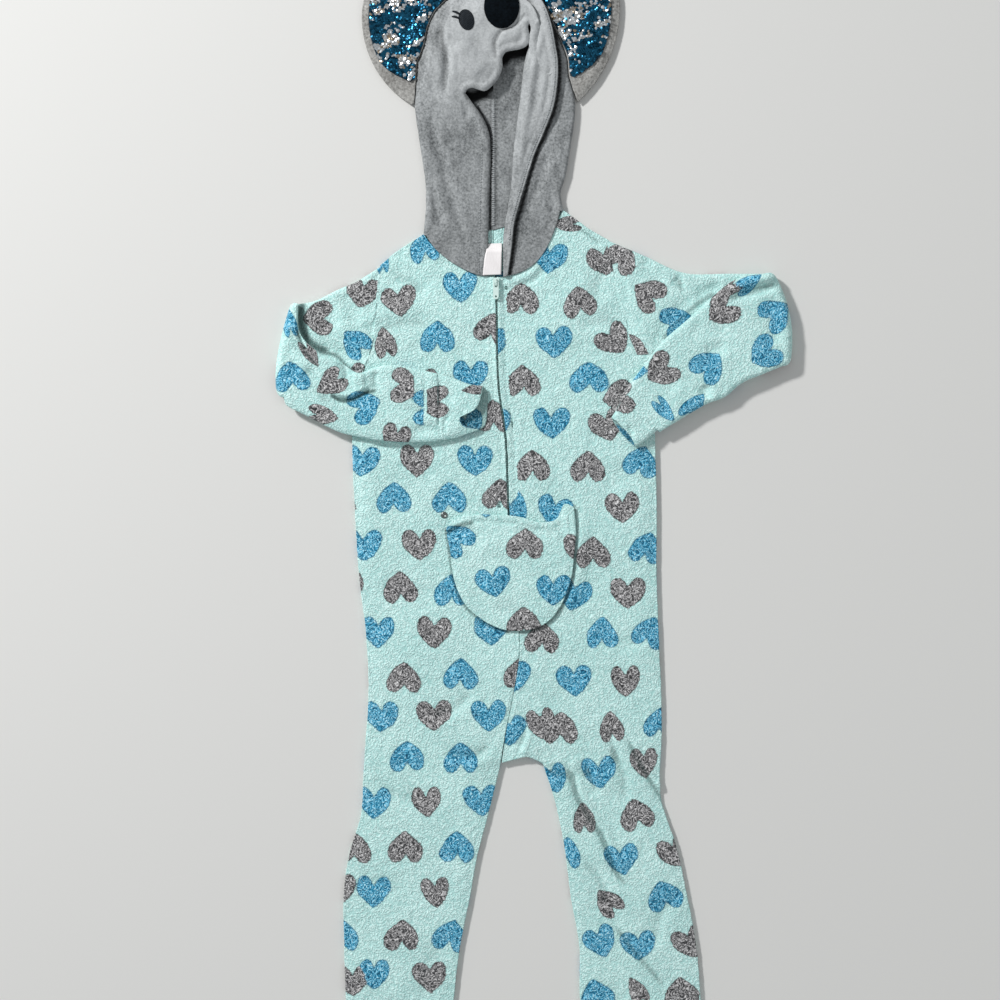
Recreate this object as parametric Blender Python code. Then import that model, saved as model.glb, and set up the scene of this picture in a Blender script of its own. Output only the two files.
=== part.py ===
"""A child's hooded plush onesie, laid flat on its back.

The garment lies on z = 0 with its hood towards +Y and its legs towards -Y.
Sizes in the tables are millimetres; left and right are those of someone
looking down at it.  Every sewn piece is a wall of plush of its own, 0.3 mm
clear of its neighbours.
"""

from math import cos, hypot, pi, radians, sin

import bmesh
import bpy
import numpy as np

# --- driving dimensions, mm ---
MM = 0.001
CLOTH = 2.6  # plush wall
GAP = 0.3  # clearance at seams and between layers that touch
NECK_GAP = 0.6  # the same along the curved neckline
ARMHOLE_GAP = 0.45  # and level across the sloping armhole
LOFT = 3.3  # how far a front panel rises between its seams
TUBE = 8.8  # height of a flattened sleeve

SEAM_Z = CLOTH + GAP  # underside of a front panel at its side seam
DECK_Z = SEAM_Z + LOFT  # underside of a front panel away from its seams
TOP_Z = DECK_Z + CLOTH  # its upper face, where sleeves and pocket lie

ZIP_SLOT = 2.4  # opening between the fronts over the zip
ZIP_END = 3  # y below which the fronts meet under the pocket
TAPE_WIDTH = 14.0
TAPE_THICK = 1.0

EDGE_STEPS = (0, 5, 14, 30)  # distances in from a seam where the loft is set
EDGE_LIFT = (0, 0.5, 0.85, 1)  # share of the loft at those distances
EDGE_SHARE = (0, 0.1, 0.22, 0.38)  # the same, at most, as shares of a short row

# --- outline tables, mm ---
# side seam and shoulder: x, y, drop (1 where front meets back, 0 at the armhole)
LEFT_SIDE = (
    (-137, 374, 1), (-153, 364, 1), (-171, 352, 1), (-188, 337, 1),
    (-191, 319, 0), (-193, 300, 0), (-195, 281, 0), (-198, 244, 0),
    (-209, 209, 0), (-221, 179, 0.6), (-223, 122, 1), (-220, 39, 1),
    (-214, -55, 1), (-205, -131, 1), (-203, -214, 1), (-206, -256, 1),
    (-209, -300, 1), (-212, -350, 1), (-226, -397, 1), (-233, -442, 1),
    (-233, -512, 1), (-231, -581, 1), (-227, -661, 1), (-223, -742, 1),
)
RIGHT_SIDE = (
    (43, 405, 1), (57, 395, 1), (72, 384, 1), (87, 375, 1), (98, 369, 1),
    (101, 349, 0), (104, 329, 0), (112, 296, 0), (124, 254, 0),
    (142, 211, 0), (155.5, 177, 0.6), (156, 119, 1), (158, 39, 1),
    (158, -55, 1), (161, -137, 1), (164, -217, 1), (164, -256, 1),
    (163, -278, 1), (162, -296, 1), (163, -326, 1), (183, -391, 1),
    (197, -456, 1), (207, -512, 1), (213, -581, 1), (216, -661, 1), (216, -742, 1),
)
LEFT_ARMHOLE = slice(3, 10)  # rows of LEFT_SIDE that the sleeve is set into
RIGHT_ARMHOLE = slice(4, 11)

# front neckline from the shoulder to the zip: x, y
LEFT_NECK = ((-134, 376), (-118, 357.5), (-102, 344), (-83, 332.5), (-65.5, 325.5), (-54.5, 323.5))
RIGHT_NECK = ((40.5, 406), (32, 389), (23, 366), (13, 349), (0.5, 336), (-14.5, 328), (-33, 323.5))
# back neckline, from each shoulder to the centre back: x, y
LEFT_BACK_NECK = ((-134, 376), (-105, 378), (-75, 380), (-46, 382), (-45.5, 350), (-44, 335))
RIGHT_BACK_NECK = (
    (40.5, 406), (19, 400), (-3, 394), (-24, 388), (-46, 382), (-45.5, 350), (-44, 335)
)
# zip and centre seam, from the neck to the crotch: x, y
CENTRE = (
    (-43.5, 323), (-42, 274), (-41.5, 231), (-40, 190), (-31, 122), (-27.5, 34),
    (-21.5, -56), (-14, -150), (-22.5, -206), (-31.5, -250),
)
# inner edge of each leg, from the crotch to the hem: x, y, drop
LEFT_INNER = (
    (-38, -289, 1), (-52, -346, 1), (-67, -404, 1), (-75, -449, 1),
    (-89, -521, 1), (-96, -581, 1), (-104, -661, 1), (-113, -742, 1),
)
RIGHT_INNER = (
    (-36, -280, 0.8), (16, -286, 1), (29, -327, 1), (42, -387, 1), (51, -456, 1),
    (61, -512, 1), (62, -581, 1), (74, -661, 1), (102, -742, 1),
)

# sleeves: upper edge x, y, lower edge x, y, tube height, turn about the elbow fold
LEFT_SLEEVE = (
    (-217, 317, -244, 175, TUBE, 0), (-243, 306, -266, 172, TUBE, 0),
    (-269, 293, -288, 171, TUBE, 0), (-290, 289, -314, 173, TUBE, 0),
    (-290, 289, -314, 173, TUBE, 45), (-290, 289, -314, 173, TUBE, 90),
    (-290, 289, -314, 173, TUBE, 135), (-290, 289, -314, 173, TUBE, 180),
    (-289, 256, -309, 164, TUBE, 180), (-267, 230, -282, 150, 8.4, 180),
    (-232, 212, -234, 127, 8, 180), (-183, 209, -178, 117, 8, 180),
    (-132, 205, -129, 116, 7.6, 180), (-115.9, 201.5, -115.9, 117, 7.4, 180),
)
LEFT_CUFF = (
    (-115.5, 199.5, -115.5, 119, 7.4, 180), (-94, 195, -94, 121, 7.6, 180),
    (-78, 189, -78, 125, 8.4, 180), (-58, 186, -60, 131, 8.4, 180),
)
RIGHT_SLEEVE = (
    (143, 349, 199, 180, TUBE, 0), (192, 328, 239, 189, TUBE, 0),
    (246, 327, 277, 198, TUBE, 0), (294, 327, 315, 211, TUBE, 0),
    (294, 327, 315, 211, TUBE, 45), (294, 327, 315, 211, TUBE, 90),
    (294, 327, 315, 211, TUBE, 135), (294, 327, 315, 211, TUBE, 180),
    (258, 320, 293, 202, TUBE, 180), (224, 295, 263, 189, 8.6, 180),
    (197, 270, 242, 172, 8.4, 180), (167, 244, 221, 164, 8, 180),
    (137, 206, 183, 142, 7.6, 180), (109.4, 168.8, 162, 129, 7.4, 180),
)
RIGHT_CUFF = (
    (112.3, 166.1, 158.6, 131.1, 7.4, 180), (108, 158, 147, 121, 8, 180), (101, 147, 132, 110, 8, 180)
)
ROUND_SHARE = 0.03  # where a flattened tube has reached ROUND_HEIGHT of its height
ROUND_HEIGHT = 0.7

# hood, left half: y, side fold x, free edge x, then mid-wall heights at the
# side fold, inside it, over the middle and at the free edge
HOOD_LEFT = (
    (431, -131, -53, 7.5, 7.5, 7.8, 7.5), (477, -137, -52, 7.5, 7.8, 8.5, 7.8),
    (504, -141, -53, 7.5, 8.5, 10, 8.5), (525, -144, -63, 7.5, 9.5, 12, 10.5),
    (540, -145, -74, 8, 11, 14, 12.5), (552, -144, -81, 8.5, 12, 15.5, 13.5),
    (560, -143, -51, 9, 13, 16.5, 14), (574, -142.5, -40, 9, 14, 17.5, 14.5),
    (591, -141, -36, 9, 14, 17.5, 15.5), (601, -137, -28, 9, 14, 17.5, 15.5),
    (609, -133, -4.5, 9, 14, 17.5, 15.5), (615, -132, 25.5, 9, 14, 17.5, 15.5),
    (635, -128, 25.5, 9, 14, 17.5, 15.5), (656, -118, 18, 9, 14, 17.5, 15.5),
    (669, -105, 13, 9, 14, 17.5, 15.5), (690, -88, -7, 9, 14, 17.5, 15.5),
    (703, -75, -20, 8, 12, 15.5, 15), (711, -62, -28, 7.5, 7.8, 8, 8),
)
# hood, right half: y, side fold x, roll of the turned-out front x, its free edge x
HOOD_RIGHT = (
    (431, 37.5, -24.5, -13), (477, 49, -20.5, 3), (506, 54, -17, 15.5), (537, 55.5, -13, 27),
    (564, 48, -9.5, 31), (594, 45, -5.5, 31), (619, 37, -3, 23), (644, 27, -5, 18),
    (669, 13, -12, 6), (684, 0.5, -20, -6), (700, -16, -32, -22),
)
HOOD_CENTRE_X = -46  # centre back seam
HOOD_FRONT_Z = 7.5  # mid-wall height of the right front
LAPEL_Z = 11.5  # mid-wall height of the part turned out over it
LAPEL_NECK = (-33.8, -23.5, 326)  # roll x, free edge x and y where it meets the neckline
NECK_SPREAD = (0.2, 0.41, 0.65, 0.87, 1)  # columns between side fold and free edge
FACE_SPREAD = (0.08, 0.2, 0.5, 0.8, 1)
FACE_FROM = 591  # y above which the columns follow the flat of the face

# ears: centre of the lower round x, y, its radius, half width and half height of the upper round
LEFT_EAR = (-83.5, 647.5, 127.5, 71, 86)
RIGHT_EAR = (-47.5, 660, 159.5, 71, 80)
EAR_FOOT = (239, 312)  # angle where each lower round starts at the hood, degrees
EAR_TIP = 47  # angle above the level where the upper round comes back to the hood
EAR_EDGE = (0, 4, 10)  # distances in from the rim where the ear's loft is set
EAR_LIFT = (0, 0.6, 1)
PATCH_INSET = 12.5  # rim of plush left round the sequins
PATCH_THICK = 1.2

FACE_TOP = 17.5 + CLOTH / 2  # upper face of the hood under eyes and nose
EYE = (-80, 644, 9.4, 13, 12)  # centre x, y, half width, half height, lean in degrees
HIDDEN_EYE = (12, 640, 8, 12, -12)
HIDDEN_EYE_Z = LAPEL_Z + CLOTH / 2 + GAP
EYE_THICK = 1.0
HIDDEN_EYE_THICK = 0.8
NOSE = (-36, 658, 22, 27, 0)
NOSE_THICK = 2.5

# pocket: top edge x, y, then rows of left x, left y, right x, right y
POCKET_TOP = (
    (-105.5, 10), (-97, 19), (-73, 25), (-44, 25), (-14, 22.5), (14, 15.5), (32, 20), (44, 39), (54, 35)
)
POCKET_ROWS = (
    (-104.5, 1, 55.5, 6), (-100.5, -20, 55, -20), (-97, -49, 52, -49), (-90.5, -71, 45.5, -71),
    (-79, -90, 37, -90), (-63, -104, 25.5, -105), (-44, -115, 9.5, -115.5), (-28, -119.5, -8, -119.5),
)

SNAP = (-108, 25, 3.6, 1.8)  # centre x, y, radius, height
LABEL = (  # y, left x, right x, underside height
    (364, -52.4, -38.6, SEAM_Z), (359, -52.6, -38.8, 5.5), (355, -52.8, -39, 9.3),
    (350, -55, -39, 9.3), (326, -57.5, -38, 9.3),
)
LABEL_THICK = 0.6

SLIDER_Y = 316  # hinge line of the pull tab, across the slider
SLIDER_X = -43.3
SLIDER_SIZE = (8.0, 11.0, 1.3)
POST_SIZE = (1.5, 5.0)
BRIDGE_SPAN = 8.2  # outer length of the loop that holds the pull tab
BRIDGE_BAR = (1.6, 1.1)  # its width and thickness
BRIDGE_RISE = 2.2  # clear height under it
HINGE_RISE = 1.1  # hinge line above the slider's top plate
TAB_SIZE = (7.0, 22.0, 1.1)
TAB_EYE = (3.2, 6.0)  # opening in the tab that the loop passes through
TAB_BAR = 1.0  # tab left at the hinge end of that opening
TAB_HOLE = 1.3  # radius of the small hole at its free end


def linear(channel):
    """One sRGB channel, 0 to 1, as linear light."""
    return channel / 12.92 if channel <= 0.04045 else ((channel + 0.055) / 1.055) ** 2.4


def finish(name, colour, roughness, metallic=0.0):
    """A Principled material from an sRGB hex colour."""
    material = bpy.data.materials.new(name)
    material.use_nodes = True
    shader = material.node_tree.nodes["Principled BSDF"]
    channels = [linear(int(colour[i:i + 2], 16) / 255) for i in (0, 2, 4)]
    shader.inputs["Base Color"].default_value = (*channels, 1)
    shader.inputs["Roughness"].default_value = roughness
    shader.inputs["Metallic"].default_value = metallic
    return material


def solid(name, points, faces, material):
    """A named object from points in mm and faces, with its normals turned out."""
    mesh = bpy.data.meshes.new(name)
    mesh.from_pydata([tuple(point * MM) for point in points], [], faces)
    shape = bmesh.new()
    shape.from_mesh(mesh)
    bmesh.ops.recalc_face_normals(shape, faces=shape.faces)
    shape.to_mesh(mesh)
    shape.free()
    mesh.materials.append(material)
    item = bpy.data.objects.new(name, mesh)
    bpy.context.collection.objects.link(item)
    return item


def wall(name, lower, upper, material):
    """Close two matching grids of points, rows by columns, into one solid."""
    lower = np.asarray(lower, float)
    upper = np.asarray(upper, float)
    rows, columns = lower.shape[:2]
    points = np.concatenate([lower.reshape(-1, 3), upper.reshape(-1, 3)])

    def at(layer, row, column):
        return layer * rows * columns + row * columns + column

    faces = []
    for row in range(rows - 1):
        for column in range(columns - 1):
            for layer in (0, 1):
                faces.append([
                    at(layer, row, column), at(layer, row, column + 1),
                    at(layer, row + 1, column + 1), at(layer, row + 1, column),
                ])
    rim = [(0, column) for column in range(columns)]
    rim += [(row, columns - 1) for row in range(1, rows)]
    rim += [(rows - 1, column) for column in range(columns - 2, -1, -1)]
    rim += [(row, 0) for row in range(rows - 2, 0, -1)]
    for here, there in zip(rim, rim[1:] + rim[:1]):
        faces.append([at(0, *here), at(0, *there), at(1, *there), at(1, *here)])
    return solid(name, points, faces, material)


def tube(name, outer, inner, material):
    """Close matching outer and inner rings into an open-ended tube wall."""
    outer = np.asarray(outer, float)
    inner = np.asarray(inner, float)
    rows, columns = outer.shape[:2]
    points = np.concatenate([outer.reshape(-1, 3), inner.reshape(-1, 3)])

    def at(layer, row, column):
        return layer * rows * columns + row * columns + column % columns

    faces = []
    for column in range(columns):
        for layer in (0, 1):
            for row in range(rows - 1):
                faces.append([
                    at(layer, row, column), at(layer, row, column + 1),
                    at(layer, row + 1, column + 1), at(layer, row + 1, column),
                ])
        for row in (0, rows - 1):
            faces.append([
                at(0, row, column), at(0, row, column + 1),
                at(1, row, column + 1), at(1, row, column),
            ])
    return solid(name, points, faces, material)


def raised(flat, thickness):
    """The same grid, moved straight up."""
    return np.asarray(flat, float) + (0, 0, thickness)


def centre_edge(x, y, side):
    """A point of the zip or centre seam, moved clear of the other front."""
    clear = ZIP_SLOT / 2 if y > ZIP_END else GAP / 2
    return (x + side * clear, y, 0)


def front_panel(name, sides, neck, inner, side, material):
    """One front: rows run from the shoulder, armhole and side seam to the
    neckline, zip, centre seam and inner leg, low at the seams."""
    edges = [(*point, 0.6 if row == 0 else 0) for row, point in enumerate(neck)]
    edges += [centre_edge(x, y, side) for x, y in CENTRE]
    edges += list(inner)
    lower = []
    for (side_x, side_y, side_drop), (edge_x, edge_y, edge_drop) in zip(sides, edges):
        length = hypot(edge_x - side_x, edge_y - side_y)
        shares = [min(step / length, most) for step, most in zip(EDGE_STEPS, EDGE_SHARE)]
        row = []
        for share, lift in zip(shares, EDGE_LIFT):
            row.append((share, 1 - side_drop * (1 - lift)))
        row.append((0.5, 1))
        for share, lift in reversed(list(zip(shares, EDGE_LIFT))):
            row.append((1 - share, 1 - edge_drop * (1 - lift)))
        lower.append([
            (side_x + (edge_x - side_x) * share, side_y + (edge_y - side_y) * share, SEAM_Z + LOFT * lift)
            for share, lift in row
        ])
    wall(name, lower, raised(lower, CLOTH), material)


def back_panel(name, sides, neck, inner, side, material):
    """One back, flat on the surface."""
    edges = [(x + side * GAP / 2, y) for x, y in neck]
    edges += [(x + side * GAP / 2, y) for x, y in CENTRE]
    edges += [(x, y) for x, y, _ in inner]
    lower = []
    for (side_x, side_y, _), (edge_x, edge_y) in zip(sides, edges):
        lower.append([
            (side_x + (edge_x - side_x) * share, side_y + (edge_y - side_y) * share, 0)
            for share in (0, 0.5, 1)
        ])
    wall(name, lower, raised(lower, CLOTH), material)


def along(line, distance):
    """The point of a polyline at a distance along it."""
    for start, end in zip(line, line[1:]):
        length = hypot(end[0] - start[0], end[1] - start[1])
        if distance <= length or end is line[-1]:
            share = distance / length
            return np.array(start[:2], float) * (1 - share) + np.array(end[:2], float) * share
        distance -= length
    return np.array(line[-1][:2], float)


def reach(line):
    """Length of a polyline."""
    return sum(hypot(b[0] - a[0], b[1] - a[1]) for a, b in zip(line, line[1:]))


def ring(line, height, turn, outward, shares, inset):
    """A flattened ring across a line, turned about the elbow fold.

    The fold's axis lies just above the lower layer, so that a turn of 180
    degrees puts the ring on top of it, upper side down."""
    axis_z = TUBE + GAP / 2
    length = reach(line)
    middle = -(GAP / 2 + height / 2)
    half = height / 2 - inset
    angle = radians(turn)
    points = []
    for sign in (1, -1):
        for share in shares if sign == 1 else shares[-2:0:-1]:
            edge = min(share, 1 - share)
            fill = 0 if edge == 0 else ROUND_HEIGHT if edge <= ROUND_SHARE else 1
            depth = middle + sign * half * fill
            x, y = along(line, inset + share * (length - 2 * inset)) - np.array(outward) * depth * sin(angle)
            points.append((x, y, axis_z + depth * cos(angle)))
    return points


def sleeve(name, armhole, stations, side, material, shares):
    """A flattened tube through its stations, from the armhole if one is given."""
    outer = []
    inner = []
    lines = []
    if armhole:
        lines.append(([(x + side * ARMHOLE_GAP, y) for x, y, _ in armhole], TUBE, 0))
    for upper_x, upper_y, lower_x, lower_y, height, turn in stations:
        lines.append(([(upper_x, upper_y), (lower_x, lower_y)], height, turn))
    for line, height, turn in lines:
        across = np.array(line[-1]) - np.array(line[0])
        across = across / np.hypot(*across)
        outward = (-side * across[1], side * across[0])
        outer.append(ring(line, height, turn, outward, shares, 0))
        inner.append(ring(line, height, turn, outward, shares, CLOTH))
    tube(name, outer, inner, material)


def ring_shares(armhole):
    """Columns of a sleeve: the armhole's own corners, and two near its ends."""
    points = [(x, y) for x, y, _ in armhole]
    total = reach(points)
    corners = [reach(points[:count]) / total for count in range(1, len(points))] + [1.0]
    return [0.0, ROUND_SHARE] + corners[1:-1] + [1 - ROUND_SHARE, 1.0]


def both_faces(section):
    """Outer and inner points of a wall along a mid-line in x and z."""
    section = np.asarray(section, float)
    steps = np.diff(section, axis=0)
    steps /= np.linalg.norm(steps, axis=1)[:, None]
    before = np.vstack([steps[:1], steps])
    after = np.vstack([steps, steps[-1:]])
    normals = np.column_stack([before[:, 1] + after[:, 1], -before[:, 0] - after[:, 0]])
    normals /= np.linalg.norm(normals, axis=1)[:, None]
    spread = np.clip(before[:, 1] * normals[:, 0] - before[:, 0] * normals[:, 1], 0.7, 1)
    offset = normals * (CLOTH / 2 / spread)[:, None]
    return section + offset, section - offset


def side_fold(side_x, front_z, side):
    """Mid-line round a side fold, from the back up to the front."""
    radius = (front_z - CLOTH / 2) / 2
    middle = side_x - side * (CLOTH / 2 + radius)
    return [
        (middle + side * radius * cos(radians(angle)), CLOTH / 2 + radius + radius * sin(radians(angle)))
        for angle in (-90, -45, 0, 45, 90)
    ]


def hood_left_section(row, spread):
    """Mid-line of the left half: back, side fold, front."""
    _, side_x, edge_x, side_z, inside_z, middle_z, edge_z = row
    fold = side_fold(side_x, side_z, -1)
    start = fold[-1][0]
    line = [(HOOD_CENTRE_X - GAP / 2, CLOTH / 2), ((HOOD_CENTRE_X + side_x) / 2, CLOTH / 2)] + fold
    for share, height in zip(spread, (inside_z, middle_z, middle_z, middle_z, edge_z)):
        line.append((start + (edge_x - start) * share, height))
    return line


def hood_right_section(row):
    """Mid-line of the right half: back, side fold, front, roll and lapel."""
    _, side_x, roll_x, edge_x = row
    fold = side_fold(side_x, HOOD_FRONT_Z, 1)
    radius = (LAPEL_Z - HOOD_FRONT_Z) / 2
    middle = roll_x + CLOTH / 2 + radius
    start = fold[-1][0]
    line = [(HOOD_CENTRE_X + GAP / 2, CLOTH / 2), ((HOOD_CENTRE_X + side_x) / 2, CLOTH / 2)] + fold
    line += [(start + (middle - start) * share, HOOD_FRONT_Z) for share in (0.15, 0.32, 0.5, 0.68, 0.84)]
    line += [
        (middle + radius * cos(radians(angle)), HOOD_FRONT_Z + radius + radius * sin(radians(angle)))
        for angle in (-90, -135, 180, 135, 90)
    ]
    line += [((middle + edge_x) / 2, LAPEL_Z), (edge_x, LAPEL_Z)]
    return line


def hood_half(name, rows, section_of, neck, back_neck, tail, material):
    """Loft a hood half from its neckline up to the crown."""
    sections = [section_of(row) for row in rows]
    faces = [both_faces(section) for section in sections]
    grids = []
    for face in (0, 1):
        grid = [
            [(x, row[0], z) for x, z in pair[face]] for row, pair in zip(rows, faces)
        ]
        first = grid[0]
        fold_from, fold_to = 2, 7  # columns of the side fold
        bottom = []
        for column, (x, _, z) in enumerate(first):
            if column == 0:
                neck_x, neck_y = x, back_neck[0][1]
            elif column < fold_from:
                neck_x, neck_y = back_neck[1]
            elif column < fold_to:
                neck_x = x + neck[0][0] - rows[0][1]
                neck_y = neck[0][1]
            elif column < fold_to + len(neck) - 1:
                neck_x, neck_y = neck[column - fold_to + 1]
            else:
                neck_x = tail[0] + x - first[fold_to + len(neck) - 2][0]
                neck_y = tail[1]
            bottom.append((neck_x, neck_y + NECK_GAP, z))
        middle = [tuple((np.array(a) + np.array(b)) / 2) for a, b in zip(bottom, first)]
        grids.append([bottom, middle] + grid)
    wall(name, grids[0], grids[1], material)


def outline_piece(name, points, base, thickness, material):
    """A flat applied piece from its outline."""
    count = len(points)
    lower = [np.array((x, y, base)) for x, y in points]
    upper = [np.array((x, y, base + thickness)) for x, y in points]
    faces = [list(range(count)), list(range(count, 2 * count))]
    for here in range(count):
        there = (here + 1) % count
        faces.append([here, there, count + there, count + here])
    return solid(name, lower + upper, faces, material)


def oval(centre_x, centre_y, half_x, half_y, lean, steps=24):
    """Points round a leaning oval."""
    tilt = radians(lean)
    points = []
    for step in range(steps):
        angle = 2 * pi * step / steps
        x, y = half_x * cos(angle), half_y * sin(angle)
        points.append((centre_x + x * cos(tilt) - y * sin(tilt), centre_y + x * sin(tilt) + y * cos(tilt)))
    return points


def ear_rim(ear, side, foot, count):
    """Points of an ear's rim, from its foot on the hood round to its tip."""
    centre_x, centre_y, radius, half_x, half_y = ear
    level = 180 if side < 0 else 0
    far_x = centre_x + side * radius
    upper_x = far_x - side * half_x
    low = round(count * 0.4)
    points = []
    for step in range(count):
        if step < low:
            angle = radians(foot + (level + (360 if side > 0 else 0) - foot) * step / low)
            points.append((centre_x + radius * cos(angle), centre_y + radius * sin(angle)))
        else:
            angle = radians((step - low) / (count - 1 - low) * (180 - EAR_TIP))
            points.append((upper_x + side * half_x * cos(angle), centre_y + half_y * sin(angle)))
    return points


def ear(prefix, ear_size, side, foot, hood_rows, plush, sequins):
    """Back, plush front and sequin inset of one ear, fanned out from the hood's side fold."""
    corners = [(row[1] + side * GAP, row[0]) for row in hood_rows]
    base = corners[:1]
    for start, end in zip(corners, corners[1:]):
        base += [((start[0] + end[0]) / 2, (start[1] + end[1]) / 2), end]
    rim = ear_rim(ear_size, side, foot, len(base))
    back, front, patch = [], [], []
    for (base_x, base_y), (rim_x, rim_y) in zip(base, rim):
        length = hypot(rim_x - base_x, rim_y - base_y)

        def inward(distance, height):
            share = min(distance / length, 0.9)
            return (rim_x + (base_x - rim_x) * share, rim_y + (base_y - rim_y) * share, height)

        back.append([(base_x, base_y, 0), inward(length / 2, 0), (rim_x, rim_y, 0)])
        row = [(base_x, base_y, DECK_Z), inward(length * 0.55, DECK_Z)]
        for distance, lift in reversed(list(zip(EAR_EDGE, EAR_LIFT))):
            row.append(inward(min(distance, length * 0.04 * distance), SEAM_Z + LOFT * lift))
        front.append(row)
        if length > 2.2 * PATCH_INSET:
            height = TOP_Z + GAP
            start = inward(length - 1, height)
            patch.append([start, inward(length * 0.5, height), inward(PATCH_INSET, height)])
    wall(prefix + "_back", back, raised(back, CLOTH), plush)
    wall(prefix + "_front", front, raised(front, CLOTH), plush)
    wall(prefix + "_sequins", patch, raised(patch, PATCH_THICK), sequins)


def zip_tape(name, side, material):
    """One tape, under the edge of its front."""
    line = [(x, y) for x, y in CENTRE if y > ZIP_END]
    line[0] = (line[0][0], line[0][1] - 1)
    low = DECK_Z - GAP - TAPE_THICK
    rows = [
        [(x + side * GAP / 2, y, low), (x + side * TAPE_WIDTH, y, low)] for x, y in line
    ]
    wall(name, rows, raised(rows, TAPE_THICK), material)


def box(name, low, high, material=None):
    """A plain block between two corners."""
    points = [
        np.array((x, y, z), float)
        for z in (low[2], high[2]) for y in (low[1], high[1]) for x in (low[0], high[0])
    ]
    faces = [[0, 1, 3, 2], [4, 5, 7, 6], [0, 1, 5, 4], [2, 3, 7, 6], [0, 2, 6, 4], [1, 3, 7, 5]]
    return solid(name, points, faces, material)


def combine(target, other, operation):
    """Join a helper to, or cut it from, a piece."""
    modifier = target.modifiers.new(operation, "BOOLEAN")
    modifier.operation = operation
    modifier.object = other
    modifier.solver = "EXACT"
    other.hide_render = True
    other.display_type = "WIRE"


def slider(material):
    """The zip slider: top plate, post down between the fronts, and loop."""
    width, length, thick = SLIDER_SIZE
    base = TOP_Z + GAP
    plate = base + thick
    body = box(
        "zip_slider", (SLIDER_X - width / 2, SLIDER_Y - length / 2, base),
        (SLIDER_X + width / 2, SLIDER_Y + length / 2, plate), material,
    )
    post_x, post_y = POST_SIZE[0] / 2, POST_SIZE[1] / 2
    post = box(
        "slider_post", (SLIDER_X - post_x, SLIDER_Y - post_y, DECK_Z),
        (SLIDER_X + post_x, SLIDER_Y + post_y, base + thick / 2), material,
    )
    bar, bar_thick = BRIDGE_BAR
    loop = box(
        "slider_loop", (SLIDER_X - bar / 2, SLIDER_Y - BRIDGE_SPAN / 2, base + thick / 2),
        (SLIDER_X + bar / 2, SLIDER_Y + BRIDGE_SPAN / 2, plate + BRIDGE_RISE + bar_thick), material,
    )
    inside = BRIDGE_SPAN / 2 - bar_thick
    space = box(
        "slider_loop_space", (SLIDER_X - bar, SLIDER_Y - inside, plate),
        (SLIDER_X + bar, SLIDER_Y + inside, plate + BRIDGE_RISE), material,
    )
    combine(loop, space, "DIFFERENCE")
    combine(body, post, "UNION")
    combine(body, loop, "UNION")


def pull_tab(material):
    """The pull tab, lying towards the legs, turning about the line through its end bar."""
    width, length, thick = TAB_SIZE
    hinge = bpy.data.objects.new("pull_tab_hinge", None)
    hinge_z = TOP_Z + GAP + SLIDER_SIZE[2] + HINGE_RISE
    hinge.location = (SLIDER_X * MM, SLIDER_Y * MM, hinge_z * MM)
    bpy.context.collection.objects.link(hinge)

    half, top = width / 2, TAB_BAR / 2
    round_y = top - length + half
    outline = [(-half * 0.8, top), (half * 0.8, top), (half, top - 1)]
    outline += [(half * cos(radians(a)), round_y - half * sin(radians(a))) for a in range(0, 181, 20)]
    outline += [(-half, top - 1)]
    tab = outline_piece("zip_pull_tab", outline[::-1], -thick / 2, thick, material)
    eye = box(
        "tab_eye", (-TAB_EYE[0] / 2, -TAB_BAR / 2 - TAB_EYE[1], -thick),
        (TAB_EYE[0] / 2, -TAB_BAR / 2, thick), material,
    )
    rim = oval(0, round_y, TAB_HOLE, TAB_HOLE, 0, 12)
    hole = outline_piece("tab_hole", rim, -thick, 2 * thick, material)
    for piece in (tab, eye, hole):
        piece.parent = hinge
    combine(tab, eye, "DIFFERENCE")
    combine(tab, hole, "DIFFERENCE")


def pocket(material):
    """The pouch pocket: a dipped top edge and a rounded bottom."""
    left, right = POCKET_TOP[0][0], POCKET_TOP[-1][0]
    shares = [(x - left) / (right - left) for x, _ in POCKET_TOP]
    base = TOP_Z + GAP
    rows = [[(x, y, base) for x, y in POCKET_TOP]]
    for left_x, left_y, right_x, right_y in POCKET_ROWS:
        rows.append([
            (left_x + (right_x - left_x) * share, left_y + (right_y - left_y) * share, base)
            for share in shares
        ])
    wall("pocket", rows, raised(rows, CLOTH), material)


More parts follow.
